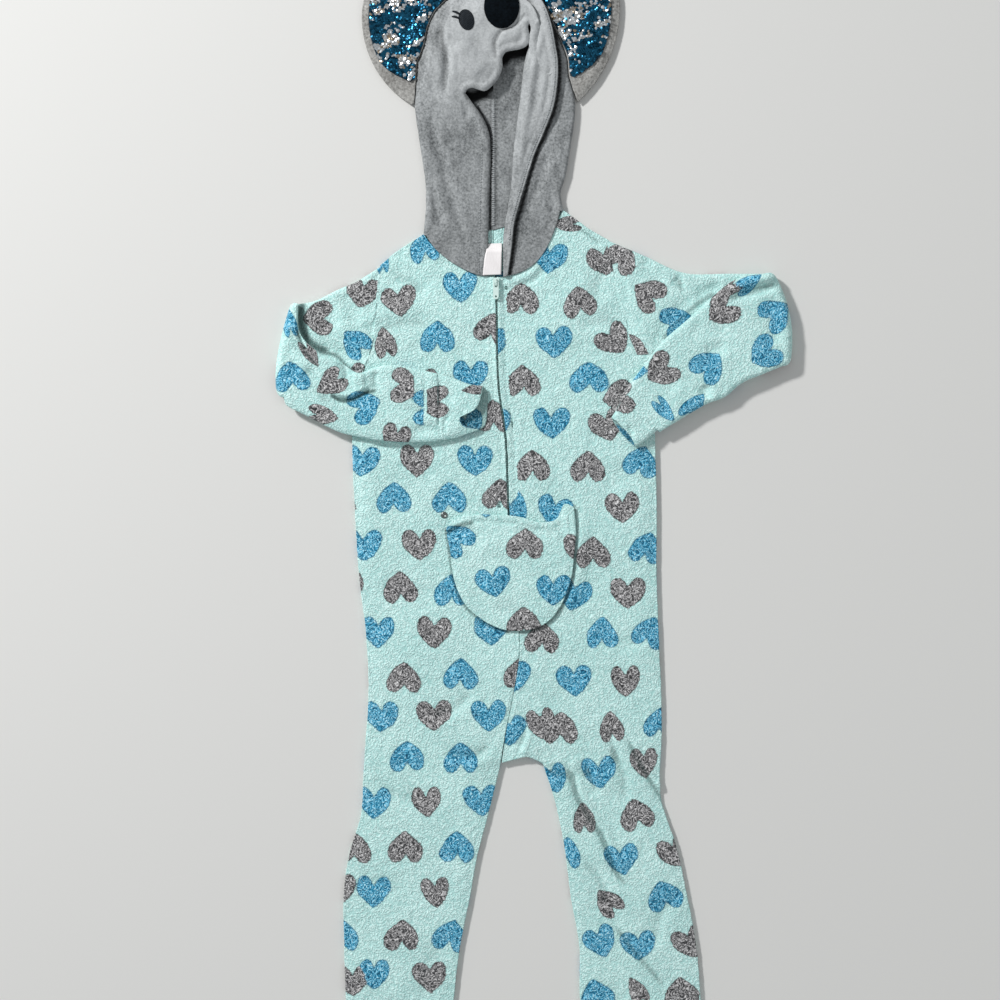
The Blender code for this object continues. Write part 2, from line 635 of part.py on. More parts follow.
def build():
    for item in list(bpy.data.objects):
        bpy.data.objects.remove(item)

    mint = finish("mint_plush", "C8EFE6", 0.95)
    grey = finish("grey_plush", "8F9294", 0.95)
    dark = finish("dark_applique", "1E232B", 0.9)
    sequins = finish("sequins", "15688F", 0.3, 0.6)
    tape = finish("zip_tape", "9FC9C2", 0.8)
    enamel = finish("enamelled_metal", "D5EFE8", 0.35, 0.2)
    steel = finish("snap_metal", "8C9298", 0.3, 1.0)
    satin = finish("label_satin", "F4EEF0", 0.5)

    back_panel("back_left", LEFT_SIDE, LEFT_BACK_NECK, LEFT_INNER, -1, mint)
    back_panel("back_right", RIGHT_SIDE, RIGHT_BACK_NECK, RIGHT_INNER, 1, mint)
    front_panel("front_left", LEFT_SIDE, LEFT_NECK, LEFT_INNER, -1, mint)
    front_panel("front_right", RIGHT_SIDE, RIGHT_NECK, RIGHT_INNER, 1, mint)

    left_hole, right_hole = LEFT_SIDE[LEFT_ARMHOLE], RIGHT_SIDE[RIGHT_ARMHOLE]
    left_shares, right_shares = ring_shares(left_hole), ring_shares(right_hole)
    sleeve("sleeve_left", left_hole, LEFT_SLEEVE, -1, mint, left_shares)
    sleeve("sleeve_right", right_hole, RIGHT_SLEEVE, 1, mint, right_shares)
    sleeve("cuff_left", None, LEFT_CUFF, -1, mint, left_shares)
    sleeve("cuff_right", None, RIGHT_CUFF, 1, mint, right_shares)

    def left_section(row):
        return hood_left_section(row, FACE_SPREAD if row[0] > FACE_FROM else NECK_SPREAD)

    hood_half(
        "hood_left", HOOD_LEFT, left_section, LEFT_NECK,
        ((0, 382), (-90, 379)), (0, 0), grey,
    )
    hood_half(
        "hood_right", HOOD_RIGHT, hood_right_section, RIGHT_NECK,
        ((0, 382), (-3, 394)), (LAPEL_NECK[0], LAPEL_NECK[2]), grey,
    )

    left_rows = [row for row in HOOD_LEFT if 535 < row[0] < 705]
    right_rows = [row for row in HOOD_RIGHT if 535 < row[0] < 705]
    ear("ear_left", LEFT_EAR, -1, EAR_FOOT[0], left_rows, grey, sequins)
    ear("ear_right", RIGHT_EAR, 1, EAR_FOOT[1], right_rows, grey, sequins)

    outline_piece("eye_left", oval(*EYE), FACE_TOP + GAP, EYE_THICK, dark)
    outline_piece("eye_right", oval(*HIDDEN_EYE), HIDDEN_EYE_Z, HIDDEN_EYE_THICK, dark)
    outline_piece("nose", oval(*NOSE), FACE_TOP + GAP, NOSE_THICK, dark)

    pocket(mint)
    snap_x, snap_y, snap_radius, snap_height = SNAP
    rivet = oval(snap_x, snap_y, snap_radius, snap_radius, 0, 16)
    outline_piece("snap", rivet, TOP_Z + GAP, snap_height, steel)

    zip_tape("zip_tape_left", -1, tape)
    zip_tape("zip_tape_right", 1, tape)
    slider(enamel)
    pull_tab(enamel)

    label = [[(left, y, z), (right, y, z)] for y, left, right, z in LABEL]
    wall("neck_label", label, raised(label, LABEL_THICK), satin)


build()
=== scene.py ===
import math

import bmesh
import bpy
import numpy as np
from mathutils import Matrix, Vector
from mathutils.bvhtree import BVHTree
from mathutils.geometry import delaunay_2d_cdt
from mathutils.kdtree import KDTree


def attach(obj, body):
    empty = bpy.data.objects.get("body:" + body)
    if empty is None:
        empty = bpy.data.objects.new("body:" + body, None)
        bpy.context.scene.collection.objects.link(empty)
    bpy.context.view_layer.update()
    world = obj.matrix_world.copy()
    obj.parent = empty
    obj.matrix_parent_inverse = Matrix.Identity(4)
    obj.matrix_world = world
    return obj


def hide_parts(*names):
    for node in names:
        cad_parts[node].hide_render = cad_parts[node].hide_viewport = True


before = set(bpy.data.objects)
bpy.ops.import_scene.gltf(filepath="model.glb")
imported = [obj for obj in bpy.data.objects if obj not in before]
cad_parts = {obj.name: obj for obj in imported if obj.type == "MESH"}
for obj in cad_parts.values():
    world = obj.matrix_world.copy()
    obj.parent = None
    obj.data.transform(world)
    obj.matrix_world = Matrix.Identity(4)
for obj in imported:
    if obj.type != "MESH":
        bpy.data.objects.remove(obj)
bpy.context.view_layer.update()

mm = 0.001  # every size below is in millimetres
clothThickness = 2.6
layerGap = 0.3
seamHeight = 5.5  # top of a front panel at its side seam
deckHeight = 8.8  # top of a front panel away from its seams
tubeHeight = 8.8


# numbers and curves

def spline(knots, values, at):
    # smooth curve through a table's values, read at the given places
    knots, values, at = (np.asarray(a, float) for a in (knots, values, at))
    wide = values.reshape(len(values), -1)
    gap = np.diff(knots)[:, None]
    rise = np.diff(wide, axis=0) / gap
    slope = np.vstack([rise[:1], (rise[:-1] * gap[1:] + rise[1:] * gap[:-1]) / (gap[:-1] + gap[1:]), rise[-1:]])
    spot = np.clip(np.searchsorted(knots, at, side="right") - 1, 0, len(knots) - 2)
    step = gap[spot]
    t = np.clip((at - knots[spot])[:, None] / step, 0, 1)
    blended = (wide[spot] * (1 + 2 * t) * (1 - t) ** 2 + wide[spot + 1] * t ** 2 * (3 - 2 * t)
               + slope[spot] * step * t * (1 - t) ** 2 - slope[spot + 1] * step * t ** 2 * (1 - t))
    return blended.reshape((len(at),) + values.shape[1:])


def chordPlaces(points):
    steps = np.linalg.norm(np.diff(points, axis=0), axis=1)
    return np.concatenate([[0], np.cumsum(steps)])


def smoothLine(points, spacing):
    # a run of table points as a smooth line with even points
    points = np.asarray(points, float)
    places = chordPlaces(points)
    count = max(2, int(round(places[-1] / spacing)) + 1)
    return spline(places, points, np.linspace(0, places[-1], count))


def easeIn(value):
    # 0 below 0, 1 above 1, soft at both ends
    value = np.clip(value, 0, 1)
    return value * value * (3 - 2 * value)


def lumps(points, size, seed):
    # smooth random relief between -1 and 1, with lumps of the given size
    cells = np.asarray(points, float) / size
    if cells.shape[1] == 2:
        cells = np.column_stack([cells, np.zeros(len(cells))])
    low = np.floor(cells).astype(np.int64)
    part = cells - low
    part = part * part * (3 - 2 * part)
    table = np.random.default_rng(seed).uniform(-1, 1, 4096)
    total = np.zeros(len(cells))
    for corner in range(8):
        side = np.array([corner & 1, corner >> 1 & 1, corner >> 2 & 1])
        key = (low + side) * np.array([73856093, 19349663, 83492791])
        value = table[(key[:, 0] ^ key[:, 1] ^ key[:, 2]) % 4096]
        total += value * np.prod(np.where(side, part, 1 - part), axis=1)
    return total


def distanceTo(points, line):
    # distance of each point from a line, its place along the line from 0 to 1, and its side
    places = chordPlaces(line)
    best = np.full(len(points), 1e9)
    place = np.zeros(len(points))
    side = np.ones(len(points))
    for start, end, before, after in zip(line, line[1:], places, places[1:]):
        run = end - start
        away = points - start
        share = np.clip(away @ run / max(run @ run, 1e-12), 0, 1)
        gap = np.hypot(away[:, 0] - share * run[0], away[:, 1] - share * run[1])
        nearer = gap < best
        best = np.where(nearer, gap, best)
        place = np.where(nearer, (before + share * (after - before)) / places[-1], place)
        turn = run[0] * away[:, 1] - run[1] * away[:, 0]
        side = np.where(nearer, np.where(turn >= 0, 1.0, -1.0), side)
    return best, place, side


def creaseRelief(points, creases):
    # given folds: (path, width, height, lip); the lip raises the cloth on the path's left
    total = np.zeros(len(points))
    for path, width, height, lip in creases:
        line = smoothLine(path, 6)
        reach = 4 * width
        near = np.all((points > line.min(0) - reach) & (points < line.max(0) + reach), axis=1)
        if not near.any():
            continue
        gap, place, side = distanceTo(points[near], line)
        ends = easeIn(np.minimum(place, 1 - place) * 4 + 0.12)
        relief = height * np.exp(-(gap / width) ** 2)
        relief += lip * (side > 0) * np.exp(-((gap - 1.3 * width) / width) ** 2)
        total[near] += relief * ends
    return total


def noDeeper(relief, deepest):
    # hollows level off towards the deepest that the cloth can go
    return np.where(relief < 0, -deepest * np.tanh(-relief / deepest), relief)


# outlines and triangles

def joinRuns(runs, spacing):
    # one closed outline from smooth runs that meet at corners
    outline = np.vstack([smoothLine(run, spacing)[:-1] for run in runs])
    ahead = np.roll(outline, -1, 0)
    area = (outline[:, 0] * ahead[:, 1] - outline[:, 1] * ahead[:, 0]).sum() / 2
    return outline if area > 0 else outline[::-1]


def outwardOf(outline):
    ahead = np.roll(outline, -1, 0) - np.roll(outline, 1, 0)
    ahead = ahead / np.maximum(np.linalg.norm(ahead, axis=1), 1e-9)[:, None]
    return np.column_stack([ahead[:, 1], -ahead[:, 0]])


def fillOutline(outline, spacing, seed=3):
    # triangles inside an outline whose own points come first
    tree = KDTree(len(outline))
    for number, point in enumerate(outline):
        tree.insert((*point, 0), number)
    tree.balance()
    random = np.random.default_rng(seed)
    start, end = outline, np.roll(outline, -1, 0)
    inner = []
    heights = np.arange(outline[:, 1].min() + spacing / 2, outline[:, 1].max(), spacing * 0.866)
    for number, y in enumerate(heights):
        cut = (start[:, 1] > y) != (end[:, 1] > y)
        a, b = start[cut], end[cut]
        crossings = np.sort(a[:, 0] + (y - a[:, 1]) * (b[:, 0] - a[:, 0]) / (b[:, 1] - a[:, 1]))
        for left, right in zip(crossings[::2], crossings[1::2]):
            shift = number % 2 / 2
            steps = np.arange(math.ceil(left / spacing - shift), math.floor(right / spacing - shift) + 1)
            for x in (steps + shift) * spacing:
                point = (x + random.uniform(-0.12, 0.12) * spacing, y + random.uniform(-0.12, 0.12) * spacing)
                if tree.find((*point, 0))[2] > 0.62 * spacing:
                    inner.append(point)
    points = np.vstack([outline, inner]) if inner else outline
    loop = list(range(len(outline)))
    if (start[:, 0] * end[:, 1] - start[:, 1] * end[:, 0]).sum() < 0:
        loop.reverse()
    found = delaunay_2d_cdt([Vector(p) for p in points], [], [loop], 1, 1e-5, True)
    if len(found[0]) != len(points):
        spots = [tuple(round(c) for c in v) for v, ids in zip(found[0], found[3]) if not ids]
        print("outline crosses itself:", len(found[0]), len(points), spots)
    order = [ids[0] if ids else -1 for ids in found[3]]
    faces = [[order[v] for v in face] for face, inside in zip(found[2], found[5]) if inside]
    return points, np.array([face for face in faces if min(face) >= 0])


# meshes

def makePiece(name, points, faces, skin, body="garment", smooth=True):
    mesh = bpy.data.meshes.new(name)
    mesh.from_pydata((np.asarray(points, float) * mm).tolist(), [], [list(map(int, f)) for f in faces])
    mesh.polygons.foreach_set("use_smooth", [smooth] * len(mesh.polygons))
    mesh.materials.append(skin)
    mesh.update()
    item = bpy.data.objects.new(name, mesh)
    bpy.context.scene.collection.objects.link(item)
    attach(item, body)
    return item


def treeOf(*names):
    # the surfaces of some pieces, for finding what lies under a point
    points, faces = [], []
    for name in names:
        mesh = bpy.data.objects[name].data
        faces += [[v + len(points) for v in p.vertices] for p in mesh.polygons]
        points += [v.co[:] for v in mesh.vertices]
    return BVHTree.FromPolygons(points, faces)


def laidOn(tree, points, fromHeight=60.0, default=18.8):
    # height of the cloth below each point
    found = []
    for x, y in points:
        hit = tree.ray_cast(Vector((x * mm, y * mm, fromHeight * mm)), Vector((0, 0, -1)))[0]
        found.append(hit.z / mm if hit else default)
    return np.array(found)


def setValues(item, **values):
    # one number for each point of the mesh, which the material reads by name
    for label, numbers in values.items():
        layer = item.data.attributes.new(label, "FLOAT", "POINT")
        layer.data.foreach_set("value", np.asarray(numbers, np.float32))


rimAngles = (52, 18, -18, -52)


def flatCloth(name, outline, spacing, topOf, skin, thickness=clothThickness, under=5, pile=0.35, lump=7.0,
              printOf=None, bottomOf=None, paintedShadeOf=None, slack=0.0, seed=1):
    # a nearly flat sewn piece: fine upper face, coarse lower face, rounded edge between them
    edge = outline - outwardOf(outline) * thickness / 2
    upper, upperFaces = fillOutline(edge, spacing, seed)
    lower, lowerFaces = fillOutline(edge, spacing * under, seed + 1)
    count = len(edge)
    top = topOf(upper)
    roughness = (lumps(upper, lump, seed) + 0.6 * lumps(upper, lump * 0.55, seed + 5)) * pile
    bottom = bottomOf(lower) if bottomOf else topOf(lower) - thickness
    if slack:
        bottom[count:] -= slack
        bottom = np.maximum(bottom, 0.4)
    middle, half = (top[:count] + bottom[:count]) / 2, (top[:count] - bottom[:count]) / 2
    rim = []
    outward = outwardOf(edge)
    for angle in rimAngles:
        bulge = half * math.cos(math.radians(angle)) + pile * lumps(edge + angle, lump * 0.7, seed + 9)
        height = middle + half * math.sin(math.radians(angle))
        rim.append(np.column_stack([edge + outward * bulge[:, None], height]))
    points = np.vstack([
        np.column_stack([upper, top + roughness - pile]), np.column_stack([lower, bottom]), *rim,
    ])
    first = len(upper) + len(lower)
    loops = [np.arange(count)] + [first + ring * count + np.arange(count) for ring in range(len(rimAngles))]
    loops.append(len(upper) + np.arange(count))
    faces = upperFaces.tolist() + (lowerFaces[:, ::-1] + len(upper)).tolist()
    for high, low in zip(loops, loops[1:]):
        faces += np.column_stack([high, low, np.roll(low, -1), np.roll(high, -1)]).tolist()
    item = makePiece(name, points, faces, skin)
    if printOf:
        # signed distance to the nearest printed heart, and which ink it has
        distance, ink = printOf(points[:, :2])
        setValues(item, heart=distance, ink=ink)
    if paintedShadeOf:
        setValues(item, hollow=paintedShadeOf(points[:, :2]))
    return item


def thicken(name, parts, skin, thickness=clothThickness, pile=0.25, lump=6.0, seed=1, paintedShadeOf=None):
    # sheets that share edges, joined into one surface and given a thickness with round edges
    form = bmesh.new()
    for points, faces in parts:
        made = [form.verts.new(point) for point in points]
        for face in faces:
            corners = [made[v] for v in face]
            if len(set(corners)) == len(corners):
                form.faces.new(corners)
    bmesh.ops.remove_doubles(form, verts=form.verts, dist=0.02)
    bmesh.ops.recalc_face_normals(form, faces=form.faces)
    form.verts.ensure_lookup_table()
    form.faces.ensure_lookup_table()
    if form.faces[0].normal.z < 0:
        bmesh.ops.reverse_faces(form, faces=form.faces)
    form.normal_update()
    points = np.array([v.co for v in form.verts])
    normals = np.array([v.normal for v in form.verts])
    faces = [[v.index for v in f.verts] for f in form.faces]
    rough = (lumps(points, lump, seed) + 0.6 * lumps(points, lump * 0.5, seed + 4)) * pile - pile
    half = thickness / 2
    sides = [points + normals * (half + rough)[:, None], points - normals * (half + rough)[:, None]]
    count = len(points)
    allFaces = faces + [[v + count for v in face[::-1]] for face in faces]
    openEdges = [e for e in form.edges if len(e.link_faces) == 1]
    outward = np.zeros((count, 3))
    for e in openEdges:
        middle = (e.verts[0].co + e.verts[1].co) / 2
        away = middle - e.link_faces[0].calc_center_median()
        along = (e.verts[1].co - e.verts[0].co).normalized()
        away -= along * away.dot(along)
        for v in e.verts:
            outward[v.index] += np.array(away.normalized())
    rimOf = {}
    extra = []
    base = 2 * count
    for v in sorted({v.index for e in openEdges for v in e.verts}):
        push = outward[v] / max(np.linalg.norm(outward[v]), 1e-6)
        rimOf[v] = [v] + [base + len(extra) + n for n in range(len(rimAngles))] + [v + count]
        for angle in rimAngles:
            turn = math.radians(angle)
            extra.append(points[v] + half * (push * math.cos(turn) * 0.9 + normals[v] * math.sin(turn)))
    for e in openEdges:
        loop = [l for l in e.link_loops][0]
        a, b = loop.vert.index, loop.link_loop_next.vert.index
        for step in range(len(rimAngles) + 1):
            allFaces.append([rimOf[b][step], rimOf[a][step], rimOf[a][step + 1], rimOf[b][step + 1]])
    form.free()
    item = makePiece(name, np.vstack(sides + [np.array(extra)]), allFaces, skin)
    if paintedShadeOf:
        # painted shade on cloth that the light doesn't reach
        hollow = paintedShadeOf(points)
        setValues(item, hollow=np.concatenate([hollow, hollow, np.zeros(len(extra))]))
    return item


def stripBetween(rows):
    # a band of quads between matching rows of points
    rows = [np.asarray(row, float) for row in rows]
    count = len(rows[0])
    faces = []
    for level in range(len(rows) - 1):
        for number in range(count - 1):
            a = level * count + number
            faces.append([a, a + 1, a + count + 1, a + count])
    return np.vstack(rows), faces


# materials

def hexColour(code):
    # sRGB hex to linear colour
    parts = [int(code[i:i + 2], 16) / 255 for i in (0, 2, 4)]
    return tuple(p / 12.92 if p <= 0.04045 else ((p + 0.055) / 1.055) ** 2.4 for p in parts) + (1,)


def addNode(tree, kind, settings=None, links=None):
    node = tree.nodes.new("ShaderNode" + kind)
    for key, value in (settings or {}).items():
        if isinstance(key, str) and hasattr(node, key):
            setattr(node, key, value)
        else:
            node.inputs[key].default_value = value
    for key, source in (links or {}).items():
        tree.links.new(source if isinstance(source, bpy.types.NodeSocket) else source.outputs[0], node.inputs[key])
    return node


def newMaterial(name, **shaderSettings):
    made = bpy.data.materials.new(name)
    made.use_nodes = True
    tree = made.node_tree
    shader = tree.nodes["Principled BSDF"]
    for key, value in shaderSettings.items():
        shader.inputs[key].default_value = value
    return made, tree, shader


def mixColours(tree, factor, first, second, blend="MIX"):
    settings, links = {"data_type": "RGBA", "blend_type": blend}, {}
    for socket, value in ((0, factor), (6, first), (7, second)):
        if isinstance(value, str):
            settings[socket] = hexColour(value)
        elif isinstance(value, (int, float)):
            settings[socket] = value
        else:
            links[socket] = value
    node = addNode(tree, "Mix", settings, links)
    return node.outputs[2]


def fleeceMaterial():
    # sherpa fleece, brushed polyester, rotary printed: matted curls whose tips stay pale,
    # with the ink lying on the tips and the roots showing between them as short dark strokes
    look = {
        "tip": "DFFFFB", "gap": "94C9C5", "shade": "CDF3EF",
        "blue": ((0, "0C4767"), (0.34, "3295BA"), (0.66, "80CFEC"), (1, "D2F6FF")),
        "grey": ((0, "222224"), (0.34, "6C6A6C"), (0.66, "B2B0B0"), (1, "F0EFEF")),
        "blueEdge": "0E5877", "greyEdge": "363436", "curl": 2.7, "stroke": 7.5, "strokeStep": 0.075, "fibre": 1.3,
        "matting": 55, "hollow": "12302E",
    }
    made, tree, shader = newMaterial("sherpaFleecePrinted", **{
        "Roughness": 0.92, "Sheen Weight": 0.25, "Sheen Roughness": 0.55, "Specular IOR Level": 0.2,
    })
    shader.inputs["Sheen Tint"].default_value = hexColour("E9FFFA")
    place = addNode(tree, "TexCoord").outputs["Object"]
    stir = addNode(tree, "TexNoise", {"Scale": 1000 / 8, "Detail": 2}, {"Vector": place})
    centred = addNode(tree, "VectorMath", {"operation": "SUBTRACT", 1: (0.5, 0.5, 0.5)}, {0: stir.outputs["Color"]})
    pushed = addNode(tree, "VectorMath", {"operation": "SCALE", "Scale": 0.008}, {0: centred})
    moved = addNode(tree, "VectorMath", {"operation": "ADD"}, {0: place, 1: pushed})
    curls = addNode(tree, "TexVoronoi", {"feature": "F1", "Scale": 1000 / look["curl"], "Randomness": 1},
                    {"Vector": moved})
    fibre = addNode(tree, "TexNoise", {"Scale": 1000 / look["fibre"], "Detail": 2}, {"Vector": place})
    pile = addNode(tree, "MapRange", {1: 0.12, 2: 0.72, 3: 1, 4: 0, "interpolation_type": "SMOOTHSTEP"},
                   {0: curls.outputs["Distance"]})
    fluff = addNode(tree, "Math", {"operation": "MULTIPLY_ADD", 1: 0.5, 2: -0.25}, {0: fibre.outputs[0]})
    relief = addNode(tree, "Math", {"operation": "ADD"}, {0: pile, 1: fluff})
    matting = addNode(tree, "TexNoise", {"Scale": 1000 / look["matting"], "Detail": 3}, {"Vector": place})
    clumped = addNode(tree, "MapRange", {1: 0.35, 2: 0.7, 3: 0, 4: 0.75}, {0: matting.outputs[0]})
    tip = mixColours(tree, clumped.outputs[0], look["tip"], look["shade"])
    # the strokes are the contour lines of a stirred noise
    squiggle = addNode(tree, "TexNoise", {"Scale": 1000 / look["stroke"], "Detail": 1, "Distortion": 0.5},
                       {"Vector": place})
    level = addNode(tree, "Math", {"operation": "PINGPONG", 1: look["strokeStep"]}, {0: squiggle.outputs[0]})
    stroke = addNode(tree, "MapRange", {1: 0.008, 2: look["strokeStep"], 3: 0, 4: 0.74}, {0: level})
    inkRelief = addNode(tree, "Math", {"operation": "MULTIPLY_ADD", 1: 0.3}, {0: relief, 2: stroke})
    groundRelief = addNode(tree, "Math", {"operation": "MULTIPLY_ADD", 1: 0.75}, {0: stroke, 2: relief})
    softRelief = addNode(tree, "MapRange", {1: -0.35, 2: 1.0, 3: 0, 4: 1}, {0: groundRelief})
    ground = mixColours(tree, softRelief.outputs[0], look["gap"], tip)
    inks = []
    for key in ("blue", "grey"):
        ramp = addNode(tree, "ValToRGB", None, {0: inkRelief})
        for number, (stop, code) in enumerate(look[key]):
            element = ramp.color_ramp.elements[0] if number == 0 else ramp.color_ramp.elements[-1] if number == 3 else (
                ramp.color_ramp.elements.new(stop))
            element.position, element.color = stop, hexColour(code)
        inks.append(ramp.outputs[0])
    ink = addNode(tree, "Attribute", {"attribute_name": "ink"}).outputs["Fac"]
    heart = addNode(tree, "Attribute", {"attribute_name": "heart"}).outputs["Fac"]
    ragged = addNode(tree, "Math", {"operation": "MULTIPLY_ADD", 1: -1.6, 2: 0.75}, {0: inkRelief})
    reach = addNode(tree, "Math", {"operation": "ADD"}, {0: heart, 1: ragged})
    cover = addNode(tree, "MapRange", {1: -0.45, 2: 0.35, 3: 1, 4: 0}, {0: reach})
    rim = addNode(tree, "MapRange", {1: -2.0, 2: -0.7, 3: 0, 4: 0.75}, {0: reach})
    inked = mixColours(tree, ink, inks[0], inks[1])
    dark = mixColours(tree, ink, look["blueEdge"], look["greyEdge"])
    outlined = mixColours(tree, rim.outputs[0], inked, dark)
    colour = mixColours(tree, cover.outputs[0], ground, outlined)
    # painted shade: the colour is pulled towards the dark hollow colour wherever the hollow value marks creases and
    # shadowed edges
    hollow = addNode(tree, "Attribute", {"attribute_name": "hollow"}).outputs["Fac"]
    colour = mixColours(tree, hollow, colour, look["hollow"])
    tree.links.new(colour, shader.inputs["Base Color"])
    height = addNode(tree, "Math", {"operation": "MULTIPLY_ADD", 1: 0.5}, {0: stroke, 2: relief})
    bump = addNode(tree, "Bump", {"Strength": 0.7, "Distance": 0.0011}, {"Height": height})
    tree.links.new(bump.outputs[0], shader.inputs["Normal"])
    return made


def velourMaterial(name, tipCode, rootCode, nap, paintedShadeCode="08090A", paintedHighlight=0.0, sheen=0.35, shine=0.2):
    # plush velour, knitted and sheared: a short nap in fine flecks, streaked lighter where it lies over
    made, tree, shader = newMaterial(name, **{
        "Roughness": 0.88, "Sheen Weight": sheen, "Sheen Roughness": 0.4, "Specular IOR Level": shine,
    })
    place = addNode(tree, "TexCoord").outputs["Object"]
    brushed = addNode(tree, "Mapping", {"Scale": (1, 0.4, 1), "Rotation": (0, 0, 0.25)}, {"Vector": place})
    flecks = addNode(tree, "TexNoise", {"Scale": 1000 / nap, "Detail": 3, "Roughness": 0.7}, {"Vector": place})
    streaks = addNode(tree, "TexNoise", {"Scale": 1000 / 11, "Detail": 3, "Roughness": 0.6}, {"Vector": brushed})
    clouds = addNode(tree, "TexNoise", {"Scale": 1000 / 70, "Detail": 2, "Distortion": 0.4}, {"Vector": place})
    laid = addNode(tree, "Math", {"operation": "MULTIPLY_ADD", 1: 0.45}, {0: streaks.outputs[0], 2: flecks.outputs[0]})
    toned = addNode(tree, "Math", {"operation": "MULTIPLY_ADD", 1: 0.3}, {0: clouds.outputs[0], 2: laid})
    tone = addNode(tree, "MapRange", {1: 0.64, 2: 1.1, 3: 0, 4: 1}, {0: toned})
    colour = mixColours(tree, tone.outputs[0], rootCode, tipCode)
    if paintedHighlight:
        # painted highlight: the higher the cloth stands, the paler it is painted, so that raised folds look lit
        height = addNode(tree, "SeparateXYZ", None, {0: place}).outputs["Z"]
        patchy = addNode(tree, "Math", {"operation": "MULTIPLY_ADD", 1: 0.007}, {0: streaks.outputs[0], 2: height})
        paintedHighlightMask = addNode(tree, "MapRange", {1: 0.0135, 2: 0.0245, 3: 0, 4: paintedHighlight}, {0: patchy})
        colour = mixColours(tree, paintedHighlightMask.outputs[0], colour, "DADDDE")
    # painted shade: darker towards the shade colour wherever the hollow value marks creases and shadowed gaps
    hollow = addNode(tree, "Attribute", {"attribute_name": "hollow"}).outputs["Fac"]
    colour = mixColours(tree, hollow, colour, paintedShadeCode)
    tree.links.new(colour, shader.inputs["Base Color"])
    height = addNode(tree, "Math", {"operation": "MULTIPLY_ADD", 1: 0.3}, {0: streaks.outputs[0], 2: flecks.outputs[0]})
    bump = addNode(tree, "Bump", {"Strength": 0.75, "Distance": 0.0009}, {"Height": height})
    tree.links.new(bump.outputs[0], shader.inputs["Normal"])
    return made


print("materials")
fleece = fleeceMaterial()
greyVelour = velourMaterial("plushVelourGrey", "ABAEAF", "5B5E5F", 3.0, paintedHighlight=0.42)
earVelour = velourMaterial("plushVelourWarmGrey", "BAB9B5", "6C6A67", 3.0)


# the printed hearts

heart = {
    "width": 44.5, "height": 40.0,
    # right half of the motif as shares of its width and height, from the notch round to the tip
    "half": [(0, 0.2), (0.05, 0.31), (0.14, 0.43), (0.25, 0.49), (0.37, 0.46), (0.46, 0.36), (0.5, 0.21),
             (0.48, 0.05), (0.41, -0.11), (0.3, -0.25), (0.18, -0.37), (0.07, -0.46), (0, -0.5)],
}

